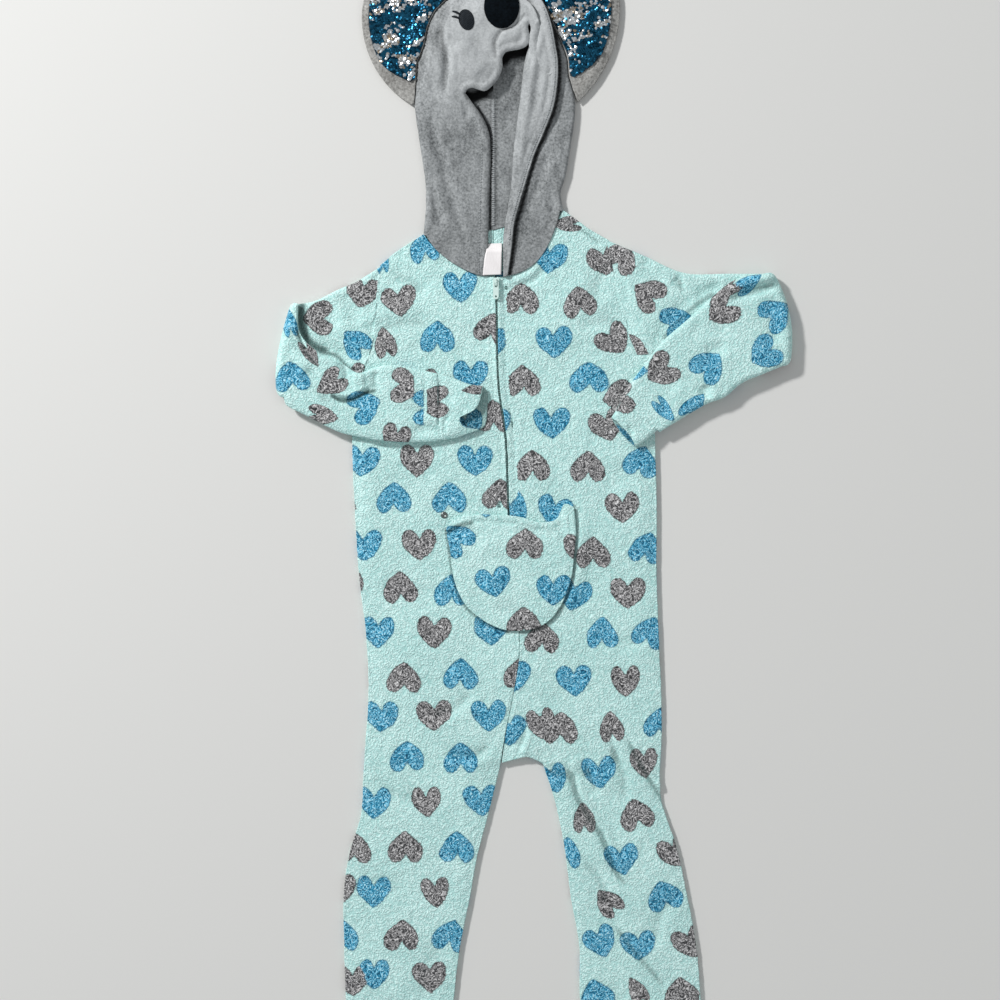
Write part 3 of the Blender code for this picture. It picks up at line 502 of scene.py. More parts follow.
# each heart: x, y, turn in degrees from tip down, ink (0 blue, 1 grey), squeeze across if any
prints = {
    "leftFront": [
        (-133.7, 360.2, 192, 0, 0.85), (-164.1, 292.5, 8, 1), (-88.1, 310, 2, 0), (-116.9, 248.8, 180, 0), (-182, 241, 190, 1, 0.66), (-184.4, 346, 180, 0, 0.35),
        (-48.1, 258.8, 168, 1), (-74.4, 198.8, 0, 0), (-136.9, 188.8, 0, 1), (-45.6, 148.8, 180, 1),
        (-108.1, 148.8, 180, 0), (-173.1, 146.2, 180, 0), (-69.4, 93.1, 0, 0), (-141.9, 93.1, -2, 1),
        (-210.6, 92.5, -3, 0), (-101.1, 47.5, 180, 0), (-171.2, 47.5, 182, 0), (-38.1, 51.2, 180, 1),
        (-240.6, 43.8, 180, 1), (-139, -12.5, 2, 1), (-208.1, -13.1, 2, 0), (-66.9, -12.5, 0, 0),
        (-163.1, -65, 182, 1), (-99.4, -68.8, 180, 0), (-230.6, -53.8, 180, 1), (-190.6, -121.2, 0, 0),
        (-119.4, -121.2, 0, 1), (-49.4, -118.8, 0, 0), (-158.1, -177.5, 180, 1), (-88.1, -173.8, 180, 0),
        (-11.9, -172.5, 178, 1), (-186.9, -227.5, 0, 0), (-120.6, -226.2, 0, 1), (-51.9, -226.2, 2, 0),
        (-154.6, -276, 183, 0), (-87.5, -278.2, 181, 0), (-195.6, -335, 0, 0),
        (-129.9, -334.1, 4, 1, 0.84), (-61.6, -332, 4, 0), (-220.6, -391.2, 180, 1),
        (-156.4, -390, 180, 1), (-91.7, -390, 179, 0), (-240.6, -443.8, 0, 1), (-195.8, -446.1, -1, 0),
        (-119.1, -447.1, 6, 1, 0.82), (-161.1, -500, 179, 1), (-99.4, -501, 168, 0),
        (-236.9, -500, 180, 0), (-195.1, -549.4, -2, 0, 0.87), (-126.2, -552.5, 4, 1),
        (-223.1, -557.5, 2, 1), (-164.4, -606.2, 180, 0), (-103.1, -608.8, 176, 0), (-195.6, -661.2, 0, 0),
        (-131.9, -661.2, 2, 1), (-165.6, -716.2, 180, 1), (-108.1, -716.2, 180, 0),
    ],
    "rightFront": [
        (45, 389, 270, 1, 0.45),
        (109.8, 171.9, 280, 1), (-15.6, 36, 180, 0, 0.5), (24.1, 345.9, -6, 0), (92.5, 343.1, 12, 1), (-11.1, 296.4, 180, 1), (61.4, 291.2, 188, 1, 0.95),
        (29.5, 241.5, 4, 0, 1.06), (104.4, 243.8, 38, 1), (-8.9, 193.4, 181, 1),
        (73.5, 197.5, 180, 0, 1.12), (26.7, 139.6, 1, 0, 1.03), (95.6, 136.9, 18, 1), (2, 86.7, 182, 1),
        (71.5, 86.1, 179, 1), (138.6, 91.5, 166, 0), (114.9, 33.9, 2, 1), (30, 30, -14, 0),
        (78.3, -21.6, 182, 1), (145.4, -15.6, 168, 0), (53.8, -75, -12, 0), (121.6, -73.3, 1, 1),
        (14.4, -127.5, 178, 1), (89.7, -122, 181, 0, 0.9), (149.4, -120.8, 162, 0), (-21.9, -177.5, 2, 0),
        (54.5, -181.6, 4, 0), (118.9, -183, 0, 1, 0.84), (13.1, -236.2, 10, 1, 0.8),
        (38.1, -241.2, 180, 1), (101.5, -239, 186, 1, 0.7), (163, -234, 175, 0), (-26.9, -245, 2, 0),
        (142.1, -285.8, 6, 1, 0.78), (86.1, -297.5, 6, 0), (29.4, -305, 18, 0, 0.8),
        (66.7, -353.5, 186, 1, 0.66), (132.4, -349.2, 194, 1), (46.2, -396.6, 178, 0, 0.8),
        (114.1, -405.3, 8, 0), (181.9, -396.2, 24, 1), (166.9, -450.4, 198, 0), (96.9, -459, 222, 1, 0.72),
        (87.2, -508.5, 20, 0, 0.92), (134.6, -513.9, 4, 0), (199.4, -510, 24, 1), (81.9, -575, 195, 0),
        (133.1, -568.8, 208, 1, 0.5), (189.4, -572.5, 184, 1), (109.4, -618.8, 6, 0), (163.1, -625, 4, 1),
        (136.9, -678.8, 186, 0), (199.4, -681.2, 186, 1), (114.4, -721.2, 4, 1), (171.9, -728.8, 4, 0),
    ],
    "welt": [
        (-50.2, 240, 0, 0), (-46.2, 138.8, 2, 0), (-24.6, 28.8, 0, 0),
    ],
    "leftArm": [
        (-266, 271, 272, 1), (-219, 241, 222, 0, 0.8), (-209.9, 302.1, -10, 1), (-184.4, 346, 180, 0, 0.35),
        (-205, 194, -10, 1),
    ],
    "rightArm": [(113.5, 347.5, 150, 1), (131, 236, 60, 1, 0.5), (146.7, 300.5, 236, 1), (183.8, 266.6, 115, 0)],
    "leftFore": [
        (-298.1, 198, 185, 0), (-300.6, 266, 190, 0, 0.42), (-274.8, 227.1, 30, 1, 0.42),
        (-249, 189.5, 305, 1, 0.75), (-260, 149, 80, 1, 0.62), (-206, 161.5, 112, 0),
        (-155.6, 186.3, 85, 1, 1, -400, -145), (-127, 158.1, 90, 0, 1, -400, -133.1),
        (-121.9, 166.9, 270, 1, 0.9, -129.4, 400), (-169, 120, -20, 1, 0.8), (-67, 182, 275, 1, 0.34),
    ],
    "rightFore": [
        (244.4, 307, 305, 1, 0.5), (272, 314, 125, 0, 0.45), (238.1, 280, 308, 1), (306, 275.8, 128, 0),
        (291.9, 226.2, 305, 0), (221.9, 210.6, 140, 0), (162.5, 205, 305, 1), (126.9, 205, 90, 0, 0.6),
        (109.8, 171.9, 280, 1), (166.9, 156, 40, 0, 0.42), (203.6, 160, 140, 0, 0.6),
    ],
    "leftInside": [(-78, 137, 20, 0, 0.9), (-96, 190, 200, 1)],
    "rightInside": [(120, 124, 30, 0, 0.3)],
    "pocket": [
        (-6.9, -10.6, 180, 1, 1.05), (-92, -5, 222, 0, 0.95), (-55.7, 41.6, 0, 0), (-46.2, -58.8, 10, 0), (29.4, -68.8, 0, 0),
        (-8.8, -108.8, 182, 1), (63.1, -16.2, 10, 1), (-89.4, -108.8, 180, 0), (64.4, -108.8, 180, 0),
    ],
}


def heartLine():
    half = smoothLine(heart["half"], 0.07)
    line = np.vstack([half, (half * (-1, 1))[::-1][1:]])
    return line * (heart["width"], heart["height"])


def printHearts(points, hearts):
    # signed distance in mm to the nearest heart's edge, below 0 inside, and its ink
    line = heartLine()
    distance, ink = np.full(len(points), 60.0), np.zeros(len(points))
    for x, y, turn, tone, *rest in hearts:
        # a heart may be squeezed across, and end where the cloth is folded under
        squeeze, low, high = (list(rest) + [1, -1e3, 1e3][len(rest):])
        near = np.flatnonzero(np.max(np.abs(points - (x, y)), axis=1) < 32)
        if not len(near):
            continue
        cos, sin = math.cos(math.radians(turn)), math.sin(math.radians(turn))
        away = points[near] - (x, y)
        local = np.column_stack([away[:, 0] * cos + away[:, 1] * sin, away[:, 1] * cos - away[:, 0] * sin])
        local[:, 0] /= squeeze
        wobble = np.column_stack([lumps(local + (x, y), 14, 71), lumps(local + (x, y), 14, 72)])
        local += wobble * 1.3
        gap = distanceTo(local, line)[0]
        inside = np.zeros(len(near), bool)
        for (x0, y0), (x1, y1) in zip(line, line[1:]):
            crosses = (y0 > local[:, 1]) != (y1 > local[:, 1])
            if y0 != y1:
                inside ^= crosses & (local[:, 0] < x0 + (local[:, 1] - y0) * (x1 - x0) / (y1 - y0))
        gap = np.maximum(np.where(inside, -gap, gap), np.maximum(low - points[near, 0], points[near, 0] - high))
        closer = gap < distance[near]
        distance[near[closer]] = gap[closer]
        ink[near[closer]] = tone
    return distance, ink


def latticeHearts(low, high, turn=0, columnPitch=71, rowPitch=107, shift=0):
    # the plain repeat of the print, for the sides that face down
    hearts = []
    cos, sin = math.cos(math.radians(turn)), math.sin(math.radians(turn))
    middle = (np.array(low) + high) / 2
    reach = int(np.hypot(*(np.array(high) - low)) / 2 / columnPitch) + 1
    for row in range(-reach, reach + 1):
        for column in range(-reach, reach + 1):
            for half, kind in ((0, (column + row) % 2), (0.5, (column + row * 2) % 3 > 0)):
                x, y = (column + half + shift) * columnPitch, (row + half) * rowPitch
                place = middle + (x * cos - y * sin, x * sin + y * cos)
                if np.all(place > np.array(low) - 30) and np.all(place < np.array(high) + 30):
                    hearts.append((place[0], place[1], turn + half * 360, int(kind)))
    return hearts


# body panels

bodyCut = {
    # side seam and shoulder: x, y
    "leftSide": [
        [(-137, 374), (-153, 364), (-171, 352), (-188, 337)],
        [(-188, 337), (-191, 319), (-193, 300), (-195, 281), (-198, 244), (-209, 209), (-221, 179)],
        [(-221, 179), (-223, 122), (-220, 39), (-214, -55), (-205, -131), (-203, -214), (-206, -256),
         (-209, -300), (-212, -350), (-226, -397), (-233, -442), (-233, -512), (-231, -581), (-227, -661),
         (-223, -742)],
    ],
    "rightSide": [
        [(43, 405), (57, 395), (72, 384), (87, 375), (98, 369)],
        [(98, 369), (101, 349), (104, 329), (112, 296), (124, 254), (142, 211), (155.5, 177)],
        [(155.5, 177), (156, 119), (158, 39), (158, -55), (161, -137), (164, -217), (164, -256), (163, -278),
         (162, -296), (163, -326), (183, -391), (197, -456), (207, -512), (213, -581), (216, -661), (216, -742)],
    ],
    "leftNeck": [(-134, 376), (-118, 357.5), (-102, 344), (-83, 332.5), (-65.5, 325.5), (-54.5, 323.5), (-43.5, 323)],
    "rightNeck": [(40.5, 406), (32, 389), (23, 366), (13, 349), (0.5, 336), (-14.5, 328), (-33, 323.5), (-43.5, 323)],
    "leftBackNeck": [(-134, 376), (-105, 378), (-75, 380), (-46, 382)],
    "rightBackNeck": [(40.5, 406), (19, 400), (-3, 394), (-24, 388), (-46, 382)],
    # zip, then centre seam, from the neck to the crotch
    "centre": [(-43.5, 323), (-42, 274), (-41.5, 231), (-40, 190), (-31, 122), (-27.5, 34), (-21.5, -56),
               (-14, -150), (-22.5, -206), (-31.5, -250)],
    "leftInner": [(-38, -289), (-52, -346), (-67, -404), (-75, -449), (-89, -521), (-96, -581), (-104, -661),
                  (-113, -742)],
    "crotch": [(-35.8, -285), (-20, -281), (-4.4, -277.5), (5, -280.5), (15.5, -286)],
    "rightInner": [(15.5, -286), (29, -327), (42, -387), (51, -456), (61, -512), (62, -581), (74, -661), (102, -742)],
    "zipHalf": 1.2, "seamHalf": 0.15, "zipEnd": 3,
}

def edgeRise(points, lines, reach=30, power=2.4):
    # 0 on the seams, 1 away from them
    gap = np.full(len(points), 1e9)
    for line in lines:
        gap = np.minimum(gap, distanceTo(points, np.asarray(line, float))[0])
    return 1 - (1 - np.clip(gap / reach, 0, 1)) ** power


def panelOutline(side, sides, neck, inner, spacing):
    centre = [(x + side * (bodyCut["zipHalf"] if y > bodyCut["zipEnd"] else bodyCut["seamHalf"]), y)
              for x, y in bodyCut["centre"]]
    neck = list(neck[:-1]) + [centre[0]]
    hem = [sides[-1][-1], inner[-1]]
    return joinRuns([*sides, hem, inner[::-1], *crotchRuns(side, inner, centre), centre[::-1],
                     neck[::-1], [neck[0], sides[0][0]]], spacing)


def crotchRuns(side, inner, centre):
    # between the legs the right panel reaches across to the centre seam
    if side < 0:
        return [[inner[0], centre[-1]]]
    return [bodyCut["crotch"][::-1], [bodyCut["crotch"][0], centre[-1]]]


frontFolds = {
    "left": [
        ([(-200, 255), (-180, 262), (-150, 268), (-120, 262)], 10, -1.6, 0.6),
        ([(-196, 120), (-170, 108), (-140, 104)], 9, -1.2, 0.5),
        ([(-178, 330), (-150, 318), (-128, 300)], 12, -1.5, 0.4),
        ([(-120, 60), (-100, 20), (-104, -20)], 16, -1.1, 0),
        ([(-190, -60), (-150, -75), (-110, -70)], 14, -1.0, 0.3),
        ([(-70, -190), (-95, -215), (-130, -228)], 10, -1.6, 0.6),
        ([(-45, -262), (-75, -275), (-110, -272)], 9, -1.8, 0.7),
        ([(-200, -300), (-170, -322), (-130, -330)], 12, -1.3, 0.4),
        ([(-215, -420), (-180, -440), (-150, -436)], 13, -1.2, 0.4),
        ([(-100, -500), (-130, -540), (-135, -590)], 14, -1.4, 0.3),
        ([(-200, -600), (-170, -640), (-165, -700)], 14, -1.2, 0.3),
    ],
    "right": [
        ([(46, 390), (56, 384), (66, 380), (76, 373), (92, 361)], 1.8, -2.6, 1.0),
        ([(-33, 317.5), (-15, 321), (0, 328.5), (12, 341), (20, 356)], 5, 1.5, 0),
        ([(-36, 308), (-14, 311.5), (6, 320), (20, 336)], 4, -1.3, 0.4),
        ([(120, 262), (95, 268), (60, 262)], 11, -1.4, 0.5),
        ([(105, 345), (85, 320), (80, 290)], 11, -1.5, 0.3),
        ([(130, 80), (100, 60), (90, 20)], 15, -1.0, 0.2),
        ([(150, -120), (115, -135), (80, -128)], 13, -1.2, 0.4),
        ([(120, -250), (129, -270), (142, -294), (156, -316), (168, -336), (176, -352)], 3.8, -4.0, 2.2),
        ([(44, -281), (52, -305), (60, -330), (72, -350), (88, -374), (107, -421), (130, -449)], 5, -3.8, 2.0),
        ([(100, -480), (116, -502), (133, -524), (158, -552), (176, -574)], 6, -2.2, 1.2),
        ([(66, -276), (74, -300), (84, -326)], 5, -1.8, 0.8),
        ([(98, -236), (102, -262), (110, -288)], 5, -1.6, 0.6),
        ([(-8, -228), (-7, -250), (-14, -268), (-16, -279)], 4, -1.8, 1.0),
        ([(-20, -262), (-14, -270), (-2, -272)], 4, 1.6, 0),
        ([(65, 28), (66, 0), (64, -30), (58, -60), (47, -86), (34, -106)], 9, 1.8, 0),
        ([(15, -292), (45, -300), (80, -296)], 8, -1.8, 0.6),
        ([(100, -262), (115, -300), (118, -340)], 9, -1.6, 0.6),
        ([(60, -400), (85, -430), (96, -470)], 11, -1.5, 0.4),
        ([(190, -440), (165, -470), (150, -520)], 11, -1.4, 0.4),
        ([(90, -560), (120, -600), (125, -660)], 13, -1.2, 0.4),
    ],
}


# painted shade where the pocket's edge keeps the light off the panels under it
pocketShade = {
    "left": [(-106, 8), (-101.5, -20), (-98, -49), (-91.5, -72), (-80, -91.5), (-63.5, -106), (-44, -117), (-28, -121.5)],
    "right": [(55, 36), (57.5, 6), (56.5, -20), (53.5, -49), (47, -72), (38, -92), (26, -107), (9.5, -117.5),
              (-8, -121.5), (-28, -121.5)],
}


def makeFronts():
    spacing = 2.4
    for side, word in ((-1, "left"), (1, "right")):
        sides, neck, inner = bodyCut[word + "Side"], bodyCut[word + "Neck"], bodyCut[word + "Inner"]
        outline = panelOutline(side, sides, neck, inner, spacing)
        seams = [sides[0], sides[2], inner]
        centre = bodyCut["centre"]
        welt = [(x + side * (9.5 if side > 0 else 7), y) for x, y in centre if y > 0]
        folds = frontFolds[word] + [(welt, 1.3, -0.9, 0), ([(x, y) for x, y in centre if y < -90], 2.5, -1.2, 0)]

        def topOf(points, seams=seams, folds=folds, side=side):
            rise = edgeRise(points, seams)
            gap = distanceTo(points, np.asarray(centre, float))[0]
            nearZip = 1 - easeIn((gap - 1) / 12)
            drape = 1.5 * (lumps(points, 70, 31 + side) + 0.5 * lumps(points, 34, 33 + side) - 1) * rise
            shape = seamHeight + (deckHeight - seamHeight) * rise + drape * (1 - 0.7 * nearZip)
            # a crease stays clear of the back panel under it
            folded = shape + noDeeper(1.45 * creaseRelief(points, folds), 3.6)
            return np.maximum(folded, np.minimum(shape, 4.3))

        def printOf(points, side=side, word=word):
            distance, ink = printHearts(points, prints[word + "Front"])
            if side > 0:
                onWelt = (distanceTo(points, np.asarray(centre, float))[0] < 11.5) & (points[:, 1] > 3)
                weltDistance, weltInk = printHearts(points, prints["welt"])
                distance = np.where(onWelt, weltDistance, distance)
                ink = np.where(onWelt, weltInk, ink)
            return distance, ink

        def paintedShadeOf(points, folds=folds, word=word):
            # painted shade: darker in the deepest creases and in a thin line beside the pocket's edge
            besidePocket = distanceTo(points, np.array(pocketShade[word], float))[0]
            paintedShadeInFolds = np.clip((-1.45 * creaseRelief(points, folds) - 1.4) / 4, 0, 0.5)
            return np.maximum(paintedShadeInFolds, 0.55 * easeIn((2.6 - besidePocket) / 1.6))

        item = flatCloth("front_" + word + "_fleece", outline, spacing, topOf, fleece, pile=0.4,
                         printOf=printOf, paintedShadeOf=paintedShadeOf, slack=1.2, seed=40 + side)
        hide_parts("front_" + word)


def makeBacks():
    spacing = 4.5
    for side, word in ((-1, "left"), (1, "right")):
        sides, inner = bodyCut[word + "Side"], bodyCut[word + "Inner"]
        neck = bodyCut[word + "BackNeck"]
        centre = [(-46, 382), (-45.5, 350), (-44, 335)] + bodyCut["centre"]
        centre = [(x + side * 0.15, y) for x, y in centre]
        hem = [sides[-1][-1], inner[-1]]
        outline = joinRuns([*sides, hem, inner[::-1], *crotchRuns(side, inner, centre), centre[::-1],
                            [centre[0]] + neck[::-1][1:], [neck[0], sides[0][0]]], spacing)

        def topOf(points):
            return np.full(len(points), clothThickness)

        repeat = [heart for heart in latticeHearts(outline.min(0), outline.max(0), turn=side * 1.5)
                  if math.dist(heart[:2], (-46, 365)) > 36]
        item = flatCloth("back_" + word + "_fleece", outline, spacing, topOf, fleece, under=1, pile=0.2,
                         printOf=lambda points: printHearts(points, repeat), seed=50 + side)
        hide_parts("back_" + word)


print("body panels")
makeFronts()
makeBacks()


# sleeves and cuffs

foldAxis = 8.95  # height of the line that each forearm folds over
sleeveCut = {
    # upper edge x, y, lower edge x, y, height, turn about the elbow fold
    "left": [
        (-217, 317, -244, 175, 8.8, 0), (-243, 306, -266, 172, 8.8, 0), (-269, 293, -288, 171, 8.8, 0),
        (-290, 289, -314, 173, 8.8, 0), (-290, 289, -314, 173, 8.8, 180), (-289, 256, -309, 164, 8.8, 180),
        (-267, 230, -282, 150, 8.4, 180), (-232, 212, -234, 127, 8, 180), (-213, 202.5, -207, 121, 8, 180),
        (-197, 208.5, -190, 118, 8, 180), (-183, 212, -178, 117, 8, 180), (-132, 205, -129, 116, 7.6, 180), (-115.9, 201.5, -115.9, 117, 7.4, 180),
    ],
    "right": [
        (143, 349, 199, 180, 8.8, 0), (192, 328, 239, 189, 8.8, 0), (246, 327, 277, 198, 8.8, 0),
        (294, 327, 315, 211, 8.8, 0), (294, 327, 315, 211, 8.8, 180), (258, 320, 293, 202, 8.8, 180),
        (224, 295, 263, 189, 8.6, 180), (197, 270, 242, 172, 8.4, 180), (167, 244, 221, 164, 8, 180),
        (137, 206, 183, 142, 7.6, 180), (109.4, 168.8, 162, 129, 7.4, 180),
    ],
    "leftCuff": [
        (-116.1, 201, -116.1, 117.5, 7.4, 180), (-94, 195.5, -94, 120.5, 7.8, 180),
        (-78, 189, -78, 125, 8.4, 180), (-58, 186, -60, 131, 8.4, 180),
    ],
    "rightCuff": [
        (112.7, 166.4, 158.9, 131.4, 7.4, 180), (108, 158, 147, 121, 8, 180), (101, 147, 132, 110, 8, 180),
    ],
    # how far the top and bottom layers end past the straight mouth, from its upper to its lower end
    "leftMouth": (
        (0, 0.11, 0.2, 0.33, 0.45, 0.55, 0.63, 0.69, 0.73, 0.82, 0.92, 1),
        (-2, -3, -3.9, -5.3, -7.8, -12.1, -19.7, -27.3, -31, -31, -28, -18),
        (-1, 4.2, 4.3, 4.6, 4.7, 4.7, 4.8, 4.7, 4.6, 4.1, 2.5, -4),
    ),
    "rightMouth": ((0, 0.2, 0.5, 0.8, 1), (-1, -4, -5, -4, -1), (0, 2, 3, 2, 0)),
    "bow": {"left": (4, -7), "right": (11.5, 0)}, "foldDepth": 1.6,
    "plain": {"left": (-287, 252), "right": (300, 318)}, "armholeGap": -2.4, "deepest": 4.6, "cuffShade": 0.4, "round": 7.5, "spacing": 2.7,
}
sleeveFolds = {
    "leftArm": [
        ([(-287, 283), (-286, 268), (-282, 256), (-276, 245), (-266, 237), (-250, 231)], 7, -4.4, 0),
        ([(-262, 300), (-250, 280), (-246, 255)], 10, -1.6, 0.5),
        ([(-232, 305), (-222, 285), (-220, 262)], 12, -1.2, 0.3),
        ([(-262, 236), (-235, 226), (-205, 222)], 8, -3.0, 0),
    ],
    "leftFore": [
        ([(-305, 270), (-299, 242), (-289, 220), (-273, 203)], 7, 1.6, 0),
        ([(-292, 256), (-284.4, 238), (-278, 225), (-265.6, 211.3)], 2.4, -2.6, 0),
        ([(-262, 222), (-250, 219), (-240, 212)], 6, 1.4, 0),
        ([(-284, 205), (-272, 192), (-260, 178)], 9, -2.6, 0),
        ([(-222, 195), (-206, 196)], 13, 2.8, 0),
        ([(-247, 175), (-237, 169.4), (-227, 168.8), (-219.4, 171.3), (-207, 178), (-196, 181.3)], 3.4, -3.2, 1.4),
        ([(-237, 217.5), (-231.3, 203), (-233, 187.5)], 3.6, -2.6, 0),
        ([(-194.4, 204), (-195.6, 192.5), (-194.4, 181.3)], 5, -2.0, 0),
        ([(-298, 240), (-297, 215), (-300, 190)], 12, -1.2, 0.4),
        ([(-160, 200), (-156, 180), (-160, 155)], 12, 1.4, 0),
        ([(-133, 205), (-131, 180), (-136, 150), (-131, 122)], 2.2, -1.2, 0),
        ([(-150, 128), (-125, 132), (-104, 124)], 7, -1.8, 0.5),
    ],
    "rightArm": [
        ([(100, 365), (112, 330), (128, 280)], 4, -1.0, 0),
        ([(140, 348), (150, 330), (168, 312)], 9, -1.6, 0.6),
        ([(180, 322), (186, 315), (188, 308)], 5, -3.2, 0),
        ([(206, 300), (186, 280), (170, 262), (150, 230)], 9, -2.6, 0),
        ([(240, 312), (222, 306), (206, 296)], 6, -3, 0),
    ],
    "rightFore": [
        ([(249, 296), (280, 305), (311, 314)], 6.5, -4.0, 1.6),
        ([(262, 322), (282, 320), (300, 318)], 6, 1.2, 0),
        ([(246, 238), (232, 232), (218, 228)], 9, -2.6, 0.8),
        ([(218, 188), (219, 178), (217, 170)], 7, -3.0, 0.8),
        ([(200, 262), (222, 255), (250, 262)], 12, -1.4, 0.4),
        ([(150, 205), (170, 196), (186, 182)], 10, -1.8, 0.5),
        ([(300, 300), (304, 270), (306, 235)], 10, -1.6, 0.5),
        ([(133, 206), (141, 196), (160, 178), (171, 150)], 2.2, -1.2, 0),
    ],
    "leftCuff": [
        ([(-113, 198), (-111.5, 180), (-112.5, 150), (-110, 122)], 2.6, -1.8, 0),
        ([(-104, 178), (-97, 171), (-90, 172)], 5, -1.4, 0.3),
        ([(-92, 152), (-96, 140), (-92, 128)], 5, -1.6, 0.4),
    ],
    "rightCuff": [
        ([(118, 134), (123, 128), (125, 121)], 2.6, -3.6, 0.8),
        ([(112, 158), (128, 146), (150, 128)], 3, -1.2, 0),
    ],
}


# painted shade on the sleeves, in the elbow valley and under folds and edges: path, reach, strength
sleevePaintedShade = {
    "leftArm": [
        ([(-286, 286), (-288, 272), (-286, 259), (-279, 245.5), (-270, 236), (-258, 231)], 8, 0.85),
        ([(-264, 229), (-254, 227.5), (-244, 225), (-236, 218), (-230, 211), (-224, 206)], 3.5, 0.75),
    ],
    "leftFore": [
        ([(-292, 256), (-284.4, 238), (-278, 225), (-265.6, 211.3)], 2, 0.7),
        ([(-247, 173.5), (-237, 168), (-227, 167.5), (-219.4, 170), (-207, 176.5), (-196, 180)], 3.8, 0.8),
        ([(-194.4, 204), (-195.6, 192.5), (-194.4, 181.3)], 4, 0.3), ([(-236, 215), (-231.3, 203), (-233, 190)], 3, 0.3),
        ([(-264, 178), (-258, 172)], 9, 0.25),
    ],
    "rightArm": [([(226, 300), (206, 287), (186, 268), (168, 248)], 5, 0.45), ([(186, 317), (188, 308)], 4, 0.5)],
    "rightFore": [([(249, 296), (280, 305), (305, 312)], 5, 0.35)],
}


def crossPlaces(width, spacing, radius, count):
    # places across a flattened tube, close together where its sides turn
    turns = [radius * (1 - math.cos(math.radians(a))) / width for a in (0, 14, 30, 48, 68, 90)]
    middle = np.linspace(turns[-1], 1 - turns[-1], count)[1:-1]
    return np.concatenate([turns, middle, 1 - np.array(turns[::-1])])


def sideHeight(share, width, radius):
    # share of the tube's half height at a place across it
    edge = np.minimum(share, 1 - share) * width
    return np.sqrt(np.clip(1 - (1 - np.clip(edge / radius, 0, 1)) ** 2, 0, 1))


